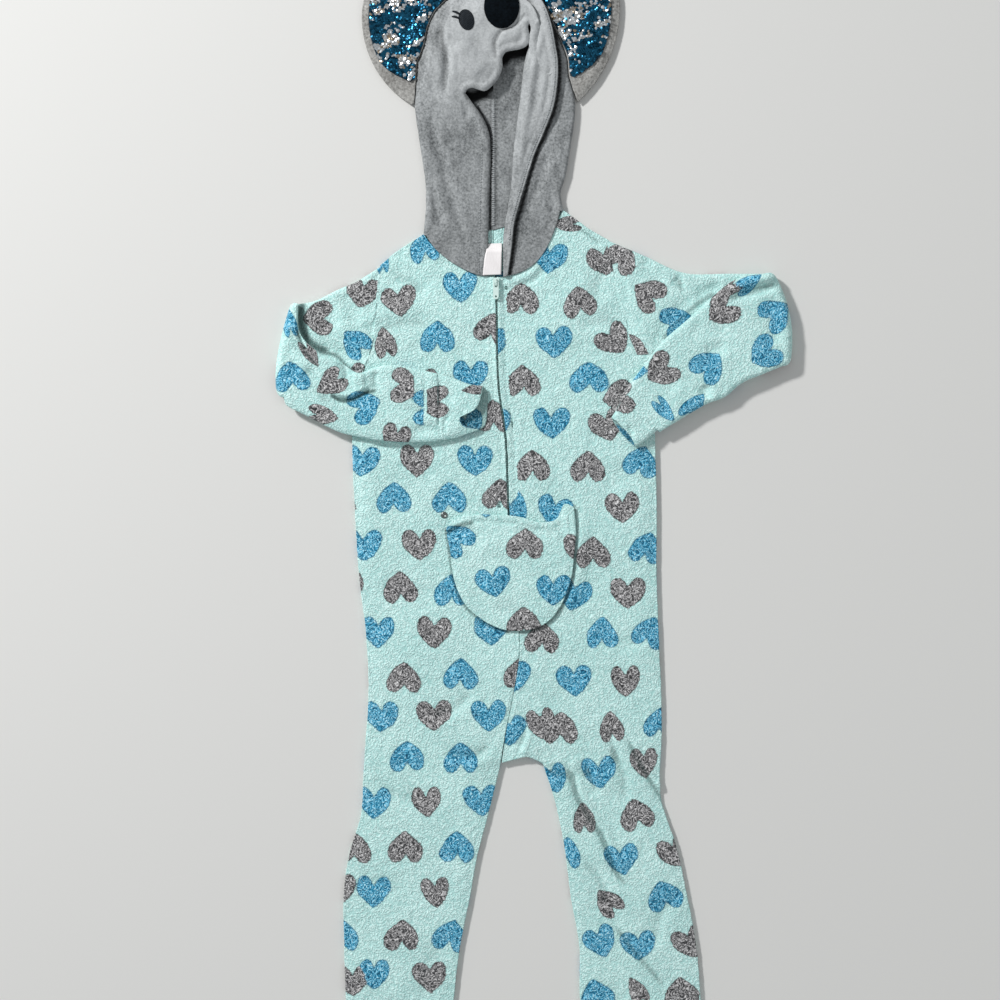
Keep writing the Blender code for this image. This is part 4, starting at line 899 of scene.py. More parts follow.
def makeSleeve(name, word, stations, armhole, folds, hearts, skin, seed):
    # a flattened tube through its stations; the forearm is turned 180 degrees over the elbow line
    side = -1 if word == "left" else 1
    table = np.array(stations, float)
    radius, spacing = sleeveCut["round"], sleeveCut["spacing"]
    width = np.hypot(table[0, 2] - table[0, 0], table[0, 3] - table[0, 1])
    places = crossPlaces(width, spacing, radius, int(width / spacing) + (10 if armhole else 4))
    columns = len(places)
    middles = (table[:, :2] + table[:, 2:4]) / 2
    steps = np.linalg.norm(np.diff(middles, axis=0), axis=1)
    knots, at = [0.0], []
    for number, step in enumerate(steps):
        length = step if step > 0 else 14.0
        knots.append(knots[-1] + length)
        count = max(3, int(round(length / (spacing if step > 0 else 1.1))))
        at += np.linspace(knots[-2], knots[-1], count, endpoint=False).tolist()
    at.append(knots[-1])
    at = np.array(at)
    elbow = int(np.argmin(steps)) if steps.min() == 0 else None
    rows = np.empty((len(at), 6))
    if elbow is None:
        rows[:] = spline(knots, table, at)
    else:
        before, after = at <= knots[elbow], at >= knots[elbow + 1]
        turning = ~before & ~after
        rows[before] = spline(knots[:elbow + 1], table[:elbow + 1], at[before])
        rows[after] = spline(knots[elbow + 1:], table[elbow + 1:], at[after])
        rows[turning] = table[elbow]
        rows[turning, 5] = 180 * (at[turning] - knots[elbow]) / (knots[elbow + 1] - knots[elbow])
    lead = []
    if armhole is not None:
        # the first rows run from the curved armhole to the first straight station
        hole = np.array(armhole, float) + (side * sleeveCut["armholeGap"], 0)
        curve = spline(chordPlaces(hole), hole, places * chordPlaces(hole)[-1])
        straight = rows[0, :2] + places[:, None] * (rows[0, 2:4] - rows[0, :2])
        count = max(4, int(np.linalg.norm(straight - curve, axis=1).mean() / spacing))
        for share in np.linspace(0, 1, count, endpoint=False):
            lead.append(curve + (straight - curve) * share)
    rings, centres, ups = [], [], []
    angleOf = []
    for row in [None] * len(lead) + list(rows):
        if row is None:
            line, height, turn = lead[len(rings)], 8.8, 0.0
        else:
            line = row[:2] + places[:, None] * (row[2:4] - row[:2])
            height, turn = row[4], math.radians(row[5])
        across = (line[-1] - line[0]) / np.linalg.norm(line[-1] - line[0])
        outward = np.array([-side * across[1], side * across[0]])
        high = sideHeight(places, np.linalg.norm(line[-1] - line[0]), radius) * height / 2
        depth = np.concatenate([-(0.15 + height / 2) + high, -(0.15 + height / 2) - high[-2:0:-1]])
        flatPlace = np.vstack([line, line[-2:0:-1]])
        xy = flatPlace - np.outer(depth * math.sin(turn), outward)
        if elbow is not None and row is not None:
            # the folded elbow bows out between its two corners
            place = at[len(rings) - len(lead)]
            near = math.exp(-(max(knots[elbow] - place, place - knots[elbow + 1], 0) / 26) ** 2)
            across = np.concatenate([places, places[-2:0:-1]])
            bulge, corner = sleeveCut["bow"][word]
            xy = xy + np.outer((bulge * np.sin(across * math.pi) ** 0.8 + corner * across ** 6) * near, outward)
        rings.append(np.column_stack([xy, foldAxis + depth * math.cos(turn)]))
        angleOf.append(np.full(len(xy), turn))
    rings = np.array(rings)
    angleOf = np.array(angleOf)
    levels, around = rings.shape[:2]
    centre = (rings.max(1)[:, 2] + rings.min(1)[:, 2])[:, None] / 2
    flatXY = rings[:, :, :2].reshape(-1, 2)
    upness = easeIn((rings[:, :, 2] - centre) / 2.5)
    isFore = rings[:, :, 2] > foldAxis
    lift = np.zeros(levels * around)
    for over, key in ((False, "Arm"), (True, "Fore")):
        chosen = (isFore == over).reshape(-1)
        if word + key in folds and chosen.any():
            lift[chosen] = creaseRelief(flatXY[chosen], folds[word + key]) * sleeveCut["foldDepth"]
    if "all" in folds:
        lift = creaseRelief(flatXY, folds["all"])
    lift = noDeeper(lift, sleeveCut["deepest"])
    outer = rings.copy()
    drape = 0.7 * lumps(flatXY, 36, seed) + 0.5 * lumps(flatXY, 18, seed + 1)
    rough = 0.35 * (lumps(rings.reshape(-1, 3), 7, seed + 2) + 0.6 * lumps(rings.reshape(-1, 3), 4, seed + 3))
    outer[:, :, 2] += ((lift + drape).reshape(levels, around)) * upness + rough.reshape(levels, around) * upness
    isTop = isFore & (upness > 0.5) & (elbow is not None)
    outer[:, :, 2] = np.where(isTop, np.maximum(outer[:, :, 2], foldAxis + 1.7), outer[:, :, 2])
    if armhole is not None:
        # the seam lies level with the front panel that it is sewn to
        beside = np.clip(curve - (side * 4, 0), curve.min(0) - 9, curve.max(0) + 9)
        level = laidOn(treeOf("front_" + word + "_fleece"), beside, default=8.0)
        level = np.concatenate([level, level[-2:0:-1]])
        away = np.linalg.norm(outer[:, :, :2] - outer[0, :, :2], axis=2)
        pull = np.exp(-(away / 12) ** 2) * upness * (~isFore)
        outer[:, :, 2] += pull * np.clip(level - outer[0, :, 2], -4, 2)
    aheadWay = rings[-1].mean(0) - rings[0].mean(0)
    aheadWay[2] = 0
    length = np.linalg.norm(aheadWay)
    aheadWay /= length
    if armhole is None:
        # the mouth's top layer ends short of the one under it
        share, top, bottom = sleeveCut[word + "Mouth"]
        across = np.concatenate([places, places[-2:0:-1]])
        reach = (outer - rings[0].mean(0)) @ aheadWay / length
        past = np.interp(across, share, top) * upness + np.interp(across, share, bottom) * (1 - upness)
        outer += (np.clip(reach, 0, 1) * past)[:, :, None] * aheadWay
    inset = clothThickness
    inner = []
    step = 5 if armhole is not None else 2
    chosenRows = list(range(0, levels - 1, step)) + [levels - 1]
    for level in chosenRows:
        ring = outer[level].copy()
        near = np.arange(max(0, level - step), min(levels, level + step + 1))
        near = near[np.abs(angleOf[near, 0] - angleOf[level, 0]) < 0.01]
        liesFlat = abs(math.sin(angleOf[level, 0])) < 0.01
        if liesFlat:
            # the lining stays inside the deepest fold around it
            high, low = outer[near, :, 2].min(0), outer[near, :, 2].max(0)
            high = np.min([np.roll(high, shift) for shift in (-2, -1, 0, 1, 2)], axis=0)
            ring[:, 2] = np.where(upness[level] > 0.5, high, np.where(upness[level] == 0, low, ring[:, 2]))
        middle = ring.mean(0)
        line = rings[level, :columns]
        across = line[-1] - line[0]
        across = across / np.linalg.norm(across)
        away = ring - middle
        along = away @ across
        halfWidth = np.abs(along).max()
        moved = ring - np.outer(along * inset / halfWidth, across)
        rest = away - np.outer(along, across)
        moved = moved - rest * np.clip(inset / np.maximum(np.abs(rest).max(), 1e-6), 0, 0.75)
        if liesFlat:
            under = np.minimum(moved[:, 2], ring[:, 2] - 0.4)
            moved[:, 2] = np.where(upness[level] > 0.5, under, moved[:, 2])
        inner.append(moved)
    inner = np.array(inner)
    lips = [(outer[0] + inner[0]) / 2 - aheadWay * 0.3, (outer[-1] + inner[-1]) / 2 + aheadWay * 1.1]
    points = np.vstack([outer.reshape(-1, 3), inner.reshape(-1, 3), *lips])
    faces = []
    def ringFaces(base, count, flip):
        ids = base + np.arange(count * around).reshape(count, around)
        a, b = ids[:-1], ids[1:]
        quads = np.stack([a, np.roll(a, -1, 1), np.roll(b, -1, 1), b], axis=-1).reshape(-1, 4)
        return (quads[:, ::-1] if flip else quads).tolist()
    flip = side > 0
    faces += ringFaces(0, levels, flip)
    faces += ringFaces(levels * around, len(chosenRows), not flip)
    lipBase = (levels + len(chosenRows)) * around
    for number, (outerLevel, innerLevel, turned) in enumerate(
            ((0, 0, not flip), (levels - 1, len(chosenRows) - 1, flip))):
        a = outerLevel * around + np.arange(around)
        lip = lipBase + number * around + np.arange(around)
        b = levels * around + innerLevel * around + np.arange(around)
        for first, second in ((a, lip), (lip, b)):
            quads = np.column_stack([first, np.roll(first, -1), np.roll(second, -1), second])
            faces += (quads[:, ::-1] if turned else quads).tolist()
    item = makePiece(name, points, faces, skin)
    distance, ink = np.full(len(points), 60.0), np.zeros(len(points))
    flatAll = points[:, :2]
    onArm = np.zeros(len(points), bool)
    onFore = np.zeros(len(points), bool)
    onArm[:levels * around] = ((~isFore) & (upness > 0)).reshape(-1)
    onFore[:levels * around] = (isFore & (upness > 0)).reshape(-1)
    hidden = ~(onArm | onFore)
    for chosen, table in ((onArm, hearts.get("arm", [])), (onFore, hearts.get("fore", []))):
        if chosen.any() and table:
            distance[chosen], ink[chosen] = printHearts(flatAll[chosen], table)
    repeat = hearts.get("rest") or [
        heart for heart in latticeHearts(flatAll.min(0), flatAll.max(0), turn=70 * side)
        if math.dist(heart[:2], sleeveCut["plain"][word]) > 52]
    distance[hidden], ink[hidden] = printHearts(flatAll[hidden], repeat)
    # painted shade in the sleeve's folds
    hollow = np.zeros(len(points))
    for chosen, key in ((onArm, "Arm"), (onFore, "Fore")):
        for path, width, strength in sleevePaintedShade.get(word + key, []):
            gap = distanceTo(flatAll, smoothLine(path, 4))[0]
            hollow = np.maximum(hollow, chosen * strength * easeIn((1 - gap / width) * 1.3))
    if armhole is None:
        # painted shade: the lining of the cuff shows at its mouth, out of the light
        hollow[hidden & (points[:, 2] < points[:, 2].max() - 3)] = sleeveCut["cuffShade"]
    setValues(item, heart=distance, ink=ink, hollow=hollow)
    return item


def makeSleeves():
    for word in ("left", "right"):
        armhole = bodyCut[word + "Side"][1]
        hearts = {"arm": prints[word + "Arm"], "fore": prints[word + "Fore"]}
        item = makeSleeve("sleeve_" + word + "_fleece", word, sleeveCut[word], armhole, sleeveFolds, hearts,
                          fleece, 80 if word == "left" else 90)
        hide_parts("sleeve_" + word)
        folds = {"all": sleeveFolds[word + "Cuff"]}
        hearts = {"fore": prints[word + "Fore"], "rest": prints[word + "Inside"]}
        item = makeSleeve("cuff_" + word + "_fleece", word, sleeveCut[word + "Cuff"], None, folds, hearts,
                          fleece, 85 if word == "left" else 95)
        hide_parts("cuff_" + word)


print("sleeves")
makeSleeves()


# pocket

pocketCut = {
    "top": [(-105.5, 8), (-97, 19), (-73, 25), (-44, 25), (-14, 22.5), (14, 15.5), (32, 20), (44, 39), (54, 35)],
    "right": [(54, 35), (56, 6), (55, -20), (52, -49), (45.5, -71), (37, -90), (25.5, -105), (9.5, -115.5),
              (-8, -119.5), (-28, -119.5), (-44, -115), (-63, -104), (-79, -90), (-90.5, -71), (-97, -49),
              (-100.5, -20), (-104.5, 0), (-105.5, 8)],
    "base": 9.1, "top height": 11.7,
}


def makePocket():
    spacing = 2.2
    top = smoothLine(pocketCut["top"][:-1], spacing)
    outline = np.vstack([top, smoothLine(pocketCut["right"], spacing)[:-1]])
    outline = joinRuns([pocketCut["top"], pocketCut["right"]], spacing)
    hem = [(x, y - 9) for x, y in pocketCut["top"][1:-2]]
    folds = [
        (hem, 1.6, -0.9, 0.0),
        ([(-96, 17), (-73, 23), (-44, 23), (-14, 20.5), (14, 13.5), (30, 17)], 4, 1.6, 0),
        ([(-104, 2), (-90, 6), (-74, 4)], 5, -1.4, 1.0),
        ([(33, 18), (42, 6), (45, -12)], 8, -1.8, 0.8),
        ([(48, 32), (50, 8), (51, -18)], 3, -1.2, 0.6),
        ([(-70, -8), (-30, -14), (10, -12)], 14, 1.2, 0),
        ([(-80, -70), (-40, -92), (0, -96)], 13, -0.9, 0.4),
        ([(-20, 8), (10, 4), (34, 2)], 6, -1.0, 0.5),
        ([(-40, -40), (-46, -70), (-40, -96)], 12, 0.8, 0),
    ]

    def topOf(points):
        rise = edgeRise(points, [np.vstack([outline, outline[:1]])[::4]], reach=16)
        lifted = 1.4 * easeIn((points[:, 0] - 36) / 12) * easeIn((points[:, 1] + 30) / 26)
        relief = 1.5 * creaseRelief(points, folds) * (0.4 + 0.6 * rise)
        return pocketCut["top height"] - 0.6 + 1.4 * rise + lifted + relief

    def paintedShadeOf(points):
        # painted shade in a line under the rolled hem at the pocket's top left
        under = distanceTo(points, smoothLine([(-104, 3), (-95, 9.5), (-84, 13.5), (-74, 15)], 3))[0]
        return 0.6 * easeIn((1 - under / 4) * 1.4)

    item = flatCloth("pocket_fleece", outline, spacing, topOf, fleece, under=3, pile=0.35,
                     printOf=lambda points: printHearts(points, prints["pocket"]), seed=61,
                     bottomOf=lambda points: np.full(len(points), pocketCut["base"]), paintedShadeOf=paintedShadeOf)
    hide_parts("pocket")


print("pocket")
makePocket()


# hood

hoodCut = {
    "leftSide": [(-134, 376), (-132, 400), (-131, 431), (-137, 477), (-141, 504), (-144, 525), (-145, 540),
                 (-144, 552), (-142.5, 574), (-141, 591), (-137, 601), (-133, 612), (-128, 635), (-118, 656),
                 (-105, 669), (-88, 690), (-75, 703), (-62, 711)],
    "neckLeft": [(-134, 376), (-118, 357.5), (-102, 344), (-83, 332.5), (-65.5, 325.5), (-54.5, 323.5)],
    "flap": [(-54.5, 323.5), (-54.4, 328.8), (-53.8, 381.2), (-52.5, 431.2), (-51.2, 477.5), (-53.1, 502.5),
             (-63.1, 525), (-74.4, 540), (-82.5, 551.2)],
    "brim": [(-82.5, 551.2), (-79.4, 556.9), (-73.1, 558.8), (-65.6, 556.9), (-56.9, 555), (-49.4, 560.6),
             (-40.6, 571.2), (-36.2, 583.8), (-36, 596.2), (-31.9, 602.5), (-23.1, 605), (-13.1, 606.9),
             (-5, 611.2), (-1.9, 620), (-3.4, 627.5), (-4.1, 635), (-1.9, 638.4), (0.6, 635.6), (1.4, 630),
             (0, 623.8), (-1.1, 613.8), (0.9, 603.8), (5.6, 593.8), (13.1, 583.8), (20.6, 575)],
    "tongue": [(20.6, 575), (25, 574.4), (26.2, 578.8)],
    "tube": [(26.2, 578.8), (21.2, 588.8), (13.8, 596.2), (8.9, 606.2), (7.6, 616.2), (9.1, 626.2), (10.1, 636.2),
             (7.5, 646.2), (3.1, 655.6), (-3.8, 663.8), (-13.1, 670), (-23.1, 681.2), (-34, 696), (-46.2, 710)],
    "crown": [(-46.2, 710), (-54, 711.5), (-62, 711)],
    "rightSide": [(40.5, 406), (40.6, 407), (38, 427.5), (44.4, 448.8), (50, 482.5), (54.9, 513.8),
                  (56.2, 538.8), (53.1, 556.2), (48.1, 573.8), (45.6, 596.2), (36.9, 618.8), (26.9, 641.2),
                  (18.1, 661.2), (6, 678), (-12, 694), (-30, 704), (-45.8, 709)],
    "neckRight": [(40.5, 406), (32, 389), (23, 366), (13, 349), (0.5, 336), (-14.5, 328), (-33.8, 324)],
    "roll": [(-33.8, 324), (-32.5, 381.2), (-28.1, 406.2), (-23.1, 441.2), (-20.6, 477.5), (-15.6, 516.2),
             (-10.6, 553.8), (-5.6, 591.2), (-0.6, 608.8), (4.4, 621.2), (5.6, 636.2), (4.4, 653.8), (-0.6, 668.8),
             (-14, 686), (-32, 700), (-45.8, 709)],
    "lapelFree": [(-29.4, 325), (-24.4, 362.5), (-21.9, 387.5), (-15.6, 412.5), (-5.6, 446.2), (4.4, 477.5),
                  (16.9, 506.2), (27.4, 535), (31.9, 561.2), (32.5, 593.8), (29.4, 612.5), (24.4, 637.5),
                  (18.1, 656.2), (9.4, 671.2), (-3, 688), (-18, 701)],
    "backNeckLeft": [(-134, 376), (-105, 378), (-75, 380), (-46.2, 382)],
    "backNeckRight": [(40.5, 406), (19, 400), (-3, 394), (-24, 388), (-45.8, 382)],
    "spacing": 2.6, "backHeight": 1.3,
}

hoodFolds = {
    "left": [
        ([(-109.4, 641.2), (-113.1, 627.5), (-111.9, 613.8), (-106.9, 603.8), (-105.6, 581.2), (-107.5, 563.8),
          (-108.1, 548.8)], 5, -3.6, 0.8),
        ([(-128.1, 527.5), (-121.2, 499.4), (-109.9, 467.5), (-104.4, 443.8), (-96.9, 418.8), (-86.9, 387.5),
          (-79.4, 356.2)], 6, -2.2, 1.2),
        ([(-128.1, 440), (-120, 416.2), (-114.9, 397.5), (-110.6, 378.8)], 6, -1.8, 0.8),
        ([(-86.9, 533.8), (-78.1, 521.2), (-68.1, 505), (-61.9, 481.2)], 6, -1.6, 0.8),
        ([(-92, 614), (-84, 598), (-70, 584), (-58, 575)], 11, 2.2, 0),
        ([(-78, 622), (-66, 607), (-54, 596), (-46, 590)], 5, -1.2, 0),
        ([(-38, 603), (-34, 616), (-22, 621), (-8, 632)], 5, 1.0, 0),
        ([(-3, 668), (4, 655), (12, 642)], 3.5, 1.6, 0),
        ([(3.1, 593.8), (10.6, 583.8), (19.4, 573.8)], 3, 1.0, 0),
        ([(-124, 620), (-128, 600), (-130, 575), (-131, 550)], 8, 1.4, 0),
        ([(-7.6, 649.4), (-21.8, 632.5), (-34, 629), (-42.5, 619), (-44, 596)], 2.6, -1.8, 1.0),
    ],
    # painted shade along each path: path, reach, strength, and the height below which the cloth is painted dark
    "leftHollows": [
        ([(-81, 550), (-74, 548), (-64, 551), (-58, 553)], 10, 1, 8),
        ([(-60, 554), (-49.4, 558), (-40.6, 569), (-36, 584), (-35, 598)], 4.5, 1, 8),
        ([(-51, 323.5), (-50, 381), (-49, 431), (-48, 477), (-50, 502), (-60, 525), (-72, 540)], 2.8, 0.9, 8),
        ([(-49.6, 385), (-49.6, 560)], 1.5, 0.45, 8),
        ([(-111, 632), (-110, 615), (-106, 600), (-105, 580), (-107, 560)], 4, 0.35, 40),
        ([(-7.6, 649.4), (-21.8, 632.5), (-34, 629), (-42.5, 619), (-44, 596)], 2.2, 0.4, 40),
        ([(-55, 324), (-54.5, 381), (-53, 431), (-51.5, 477), (-53.5, 502), (-63, 525), (-82, 551)], 1.2, 0.5, 40),
    ],
    "rightHollows": [
        ([(-34, 593), (-27, 600), (-14, 603), (-4, 606), (0, 625)], 9, 1, 9.5),
        ([(-2, 638), (0, 628), (-1.5, 622)], 4, 1, 40),
        ([(-43, 385), (-43, 592)], 1.3, 0.4, 8),
        ([(-26, 325), (-21, 362), (-18, 387), (-11, 412), (-1.5, 446), (8, 477), (20, 505), (31, 535), (35.5, 561),
          (36, 594), (33, 612), (28, 637), (21, 656)], 3.4, 0.95, 9.5),
    ],
    "right": [
        ([(21.9, 481.2), (11.9, 443.8), (-0.6, 412.5), (-8.1, 387.5)], 6, -1.6, 0.8),
        ([(36.9, 430), (30.6, 412.5), (24.4, 393.8), (18.1, 373.8)], 5, -1.6, 0.8),
        ([(40, 520), (36, 480), (30, 450)], 7, 1.0, 0),
    ],
    "lapel": [
        ([(23.1, 531.2), (11.9, 500), (-0.6, 468.8), (-13.1, 431.2), (-20.6, 403.8)], 5, -2.6, 1.2),
        ([(14, 590), (8, 560), (4, 530), (-6, 490)], 6, -1.8, 0.9),
        ([(20, 640), (22, 610), (22, 570)], 5, 1.4, 0),
    ],
}


def closedRun(runs, spacing):
    # runs that are already sampled stay as they are; the others are smoothed
    outline = []
    for run in runs:
        sampled = run if isinstance(run, np.ndarray) else smoothLine(run, spacing)
        outline.append(sampled[:-1])
    return np.vstack(outline)


def insetRun(run, spacing, distance, side):
    # a run of the outline moved in by a distance that may vary along it
    line = smoothLine(run, spacing)
    ahead = np.gradient(line, axis=0)
    ahead /= np.linalg.norm(ahead, axis=1)[:, None]
    inward = np.column_stack([ahead[:, 1], -ahead[:, 0]]) * side
    return line, line + inward * np.asarray(distance).reshape(-1, 1), -inward


def foldStrip(low, high, outward, steps=7):
    # half-round strip joining two edges that lie one above the other
    rows = []
    for turn in np.linspace(-90, 90, steps):
        middle, half = (low + high) / 2, (high - low) / 2
        radius = half[:, 2]
        push = np.column_stack([outward, np.zeros(len(outward))]) * (radius * math.cos(math.radians(turn)))[:, None]
        rows.append(middle + half * math.sin(math.radians(turn)) + push)
    return stripBetween(rows)


def filled(outline, spacing, heightOf, seed):
    points, faces = fillOutline(outline, spacing, seed)
    return np.column_stack([points, heightOf(points)]), faces.tolist()


def withHeights(line, heights):
    return np.column_stack([line, heights])


def hoodRise(y, side):
    # how high the hood's front stands at each height: low by the neck, high over the face
    table = {"left": [(300, 7.6), (431, 7.8), (477, 8.5), (504, 10), (525, 12), (552, 15.5), (574, 17.2),
                      (690, 17.5), (703, 15), (715, 8)],
             "right": [(300, 7.5), (480, 7.5), (600, 8), (680, 8), (715, 7.5)],
             "lapel": [(300, 11.4), (400, 13), (480, 14.5), (540, 16.5), (600, 18.5), (680, 18.5), (715, 12)]}[side]
    table = np.array(table)
    return spline(table[:, 0], table[:, 1], y)


def paintedShadeIn(word):
    # painted shade along the listed paths, on cloth lower than each path's height
    def paintedShadeOf(points):
        value = np.zeros(len(points))
        for path, width, strength, ceiling in hoodFolds[word + "Hollows"]:
            gap = distanceTo(points[:, :2], smoothLine(path, 4))[0]
            value = np.maximum(value, strength * easeIn((1 - gap / width) * 1.8) * (points[:, 2] < ceiling))
        return value
    return paintedShadeOf


def makeHoodLeft():
    spacing, base = hoodCut["spacing"], hoodCut["backHeight"]
    sideRun = smoothLine(hoodCut["leftSide"], spacing)
    sideTop = np.interp(sideRun[:, 1], [376, 540, 600, 690, 711], [7.5, 8, 9, 9, 7.5])
    line, inner, outward = insetRun(hoodCut["leftSide"], spacing, (sideTop - base) / 2 + 1.3, 1)
    edges = [hoodCut["flap"][1:], hoodCut["brim"], hoodCut["tongue"], hoodCut["tube"]]
    freeLine = np.vstack([smoothLine(e, 6) for e in (hoodCut["flap"], hoodCut["brim"], hoodCut["tube"][:7])])
    flapLine = smoothLine(hoodCut["flap"], 6)

    def frontHeight(points):
        gap = distanceTo(points, inner[::3])[0]
        sideLevel = np.interp(points[:, 1], sideRun[:, 1], sideTop)
        rise = np.sin(np.clip(gap / 42, 0, 1) * math.pi / 2)
        level = sideLevel + (hoodRise(points[:, 1], "left") - sideLevel) * rise
        free = distanceTo(points, freeLine)[0]
        onFlap = easeIn((562 - points[:, 1]) / 20)
        flapHem = 0.5 * np.exp(-((free - 4.5) / 3.2) ** 2) - 0.8 * np.exp(-((free - 9) / 1.4) ** 2)
        brimHem = 1.3 * np.exp(-((free - 3.2) / 2.6) ** 2) - 0.5 * np.exp(-((free - 8.5) / 2.5) ** 2)
        hem = brimHem + (flapHem - brimHem) * onFlap
        droop = -1.6 * np.exp(-free / 2)
        drape = 0.8 * lumps(points, 30, 12) + 0.45 * lumps(points, 15, 13)
        held = easeIn(gap / 8)
        return level + (1.6 * creaseRelief(points, hoodFolds["left"]) + hem + droop + drape) * held

    def backHeight(points):
        # the back rises under the brim, where it is gathered to the crown
        hollow = easeIn((points[:, 1] - 560) / 45) * easeIn((points[:, 0] + 95) / 30)
        edge = distanceTo(points, inner[::3])[0]
        seam = np.exp(-((points[:, 0] + 46) / 3.2) ** 2) * 1.6 * easeIn((points[:, 1] - 380) / 10)
        return base + (4.2 * hollow + seam + 0.7 * (lumps(points, 22, 14) + 1)) * easeIn(edge / 8)

    front = closedRun([inner[::-1], [tuple(inner[0]), (-118, 358.3), (-102, 344.8), (-83, 333.3), (-65.5, 326.3),
                                     (-54.5, 324.2)],
                       [(-54.5, 324.2)] + hoodCut["flap"][1:], hoodCut["brim"], hoodCut["tongue"],
                       hoodCut["tube"], [hoodCut["tube"][-1], tuple(inner[-1])]], spacing)
    back = closedRun([inner[::-1], [tuple(inner[0])] + [(x, y + 0.8) for x, y in hoodCut["backNeckLeft"][1:]],
                      [(-46.2, 382.8), (-46.2, 705)], [(-46.2, 705), tuple(inner[-1])]], spacing)
    parts = [
        filled(front, spacing, frontHeight, 5),
        filled(back, spacing * 1.1, backHeight, 6),
        foldStrip(withHeights(inner, np.full(len(inner), base)), withHeights(inner, sideTop), outward),
    ]
    parts[0][0][:len(inner) - 1, 2] = sideTop[::-1][:-1]
    parts[1][0][:len(inner) - 1, 2] = base
    parts[0][0][-1:, 2] = parts[0][0][-1:, 2]
    item = thicken("hood_left_plush", parts, greyVelour, pile=0.3, lump=5, seed=7, paintedShadeOf=paintedShadeIn("left"))
    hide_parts("hood_left")


def makeHoodRight():
    spacing, base = hoodCut["spacing"], hoodCut["backHeight"]
    frontLevel = 7.5
    count = len(smoothLine(hoodCut["rightSide"], spacing))
    line, inner, outward = insetRun(hoodCut["rightSide"], spacing, np.full(count, (frontLevel - base) / 2 + 1.3), -1)
    rollLine = smoothLine(hoodCut["roll"], spacing)
    lapelLevel = hoodRise(rollLine[:, 1], "lapel") - 1.0
    radius = (lapelLevel - frontLevel) / 2
    roll, rollInner, rollOut = insetRun(hoodCut["roll"], spacing, radius * 0.6 + 1.3, 1)

    def frontHeight(points):
        gap = distanceTo(points, inner[::3])[0]
        level = hoodRise(points[:, 1], "right")
        return level + (creaseRelief(points, hoodFolds["right"]) + 0.6 * lumps(points, 25, 15)) * easeIn(gap / 8)

    def backHeight(points):
        hollow = easeIn((points[:, 1] - 575) / 40) * easeIn((40 - points[:, 0]) / 30)
        edge = distanceTo(points, inner[::3])[0]
        seam = np.exp(-((points[:, 0] + 46) / 3.2) ** 2) * 1.6 * easeIn((points[:, 1] - 380) / 10)
        return base + (4.2 * hollow + seam + 0.7 * (lumps(points, 22, 14) + 1)) * easeIn(edge / 8)

    def lapelHeight(points):
        fromRoll = distanceTo(points, rollInner[::3])[0]
        free = distanceTo(points, smoothLine(hoodCut["lapelFree"], 6))[0]
        level = hoodRise(points[:, 1], "lapel") - 1.0
        puff = 1.8 * np.exp(-((fromRoll - 6) / 5) ** 2) + 1.2 * np.exp(-((free - 4) / 3.5) ** 2)
        puff -= 1.3 * np.exp(-((free - 10) / 2.4) ** 2)
        drape = 0.6 * lumps(points, 22, 17) + 0.4 * lumps(points, 11, 18)
        return level + (puff + creaseRelief(points, hoodFolds["lapel"]) + drape) * easeIn(fromRoll / 5)

    neck = [(x, y + 0.8) for x, y in hoodCut["neckRight"][1:-1]]
    front = closedRun([[tuple(inner[0])] + neck + [tuple(rollInner[0])], rollInner,
                       [tuple(rollInner[-1]), tuple(inner[-1])], inner[::-1]], spacing)
    front = closedRun([rollInner, [tuple(rollInner[-1]), tuple(inner[-1])], inner[::-1],
                       [tuple(inner[0])] + neck + [tuple(rollInner[0])]], spacing)
    back = closedRun([inner, [tuple(inner[-1]), (-45.8, 704)], [(-45.8, 704), (-45.8, 382.8)],
                      [(-45.8, 382.8), (-24, 388.8), (-3, 394.8), (19, 400.8), tuple(inner[0])]], spacing)
    lapel = closedRun([rollInner, [tuple(rollInner[-1]), hoodCut["lapelFree"][-1]], hoodCut["lapelFree"][::-1],
                       [hoodCut["lapelFree"][0], tuple(rollInner[0])]], spacing)
    rollCount, sideCount = len(rollInner), len(inner)
    parts = [
        filled(front, spacing, frontHeight, 8),
        filled(back, spacing * 1.1, backHeight, 9),
        filled(lapel, spacing, lapelHeight, 10),
        foldStrip(withHeights(inner, np.full(sideCount, base)), withHeights(inner, np.full(sideCount, frontLevel)),
                  outward),
        foldStrip(withHeights(rollInner, np.full(rollCount, frontLevel)), withHeights(rollInner, lapelLevel), rollOut),
    ]
    for part, run, level in ((0, rollInner, np.full(rollCount, frontLevel)), (2, rollInner, lapelLevel),
                             (0, inner, np.full(sideCount, frontLevel)), (1, inner, np.full(sideCount, base))):
        found = KDTree(len(part_ := parts[part][0]))
        for number, point in enumerate(part_):
            found.insert((point[0], point[1], 0), number)
        found.balance()
        for (x, y), z in zip(run, level):
            parts[part][0][found.find((x, y, 0))[1], 2] = z
    item = thicken("hood_right_plush", parts, greyVelour, pile=0.3, lump=5, seed=8, paintedShadeOf=paintedShadeIn("right"))
    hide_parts("hood_right")


print("hood")
makeHoodLeft()
makeHoodRight()


# ears

earCut = {
    # centre of the lower round, its radius, half width and half height of the upper round, foot and tip angles
    "left": ((-83.5, 647.5), 127.5, 71, 86, 239, 133), "right": ((-47.5, 660), 159.5, 71, 80, 312, 133),
    "rim": {"left": 8.5, "right": 10.5}, "footRim": 17, "sequin": 4.8, "pitch": 3.3, "patchHeight": 9.1, "seamEnd": 18,
    "silverFrom": {"left": 0.22, "right": 0.2},
}


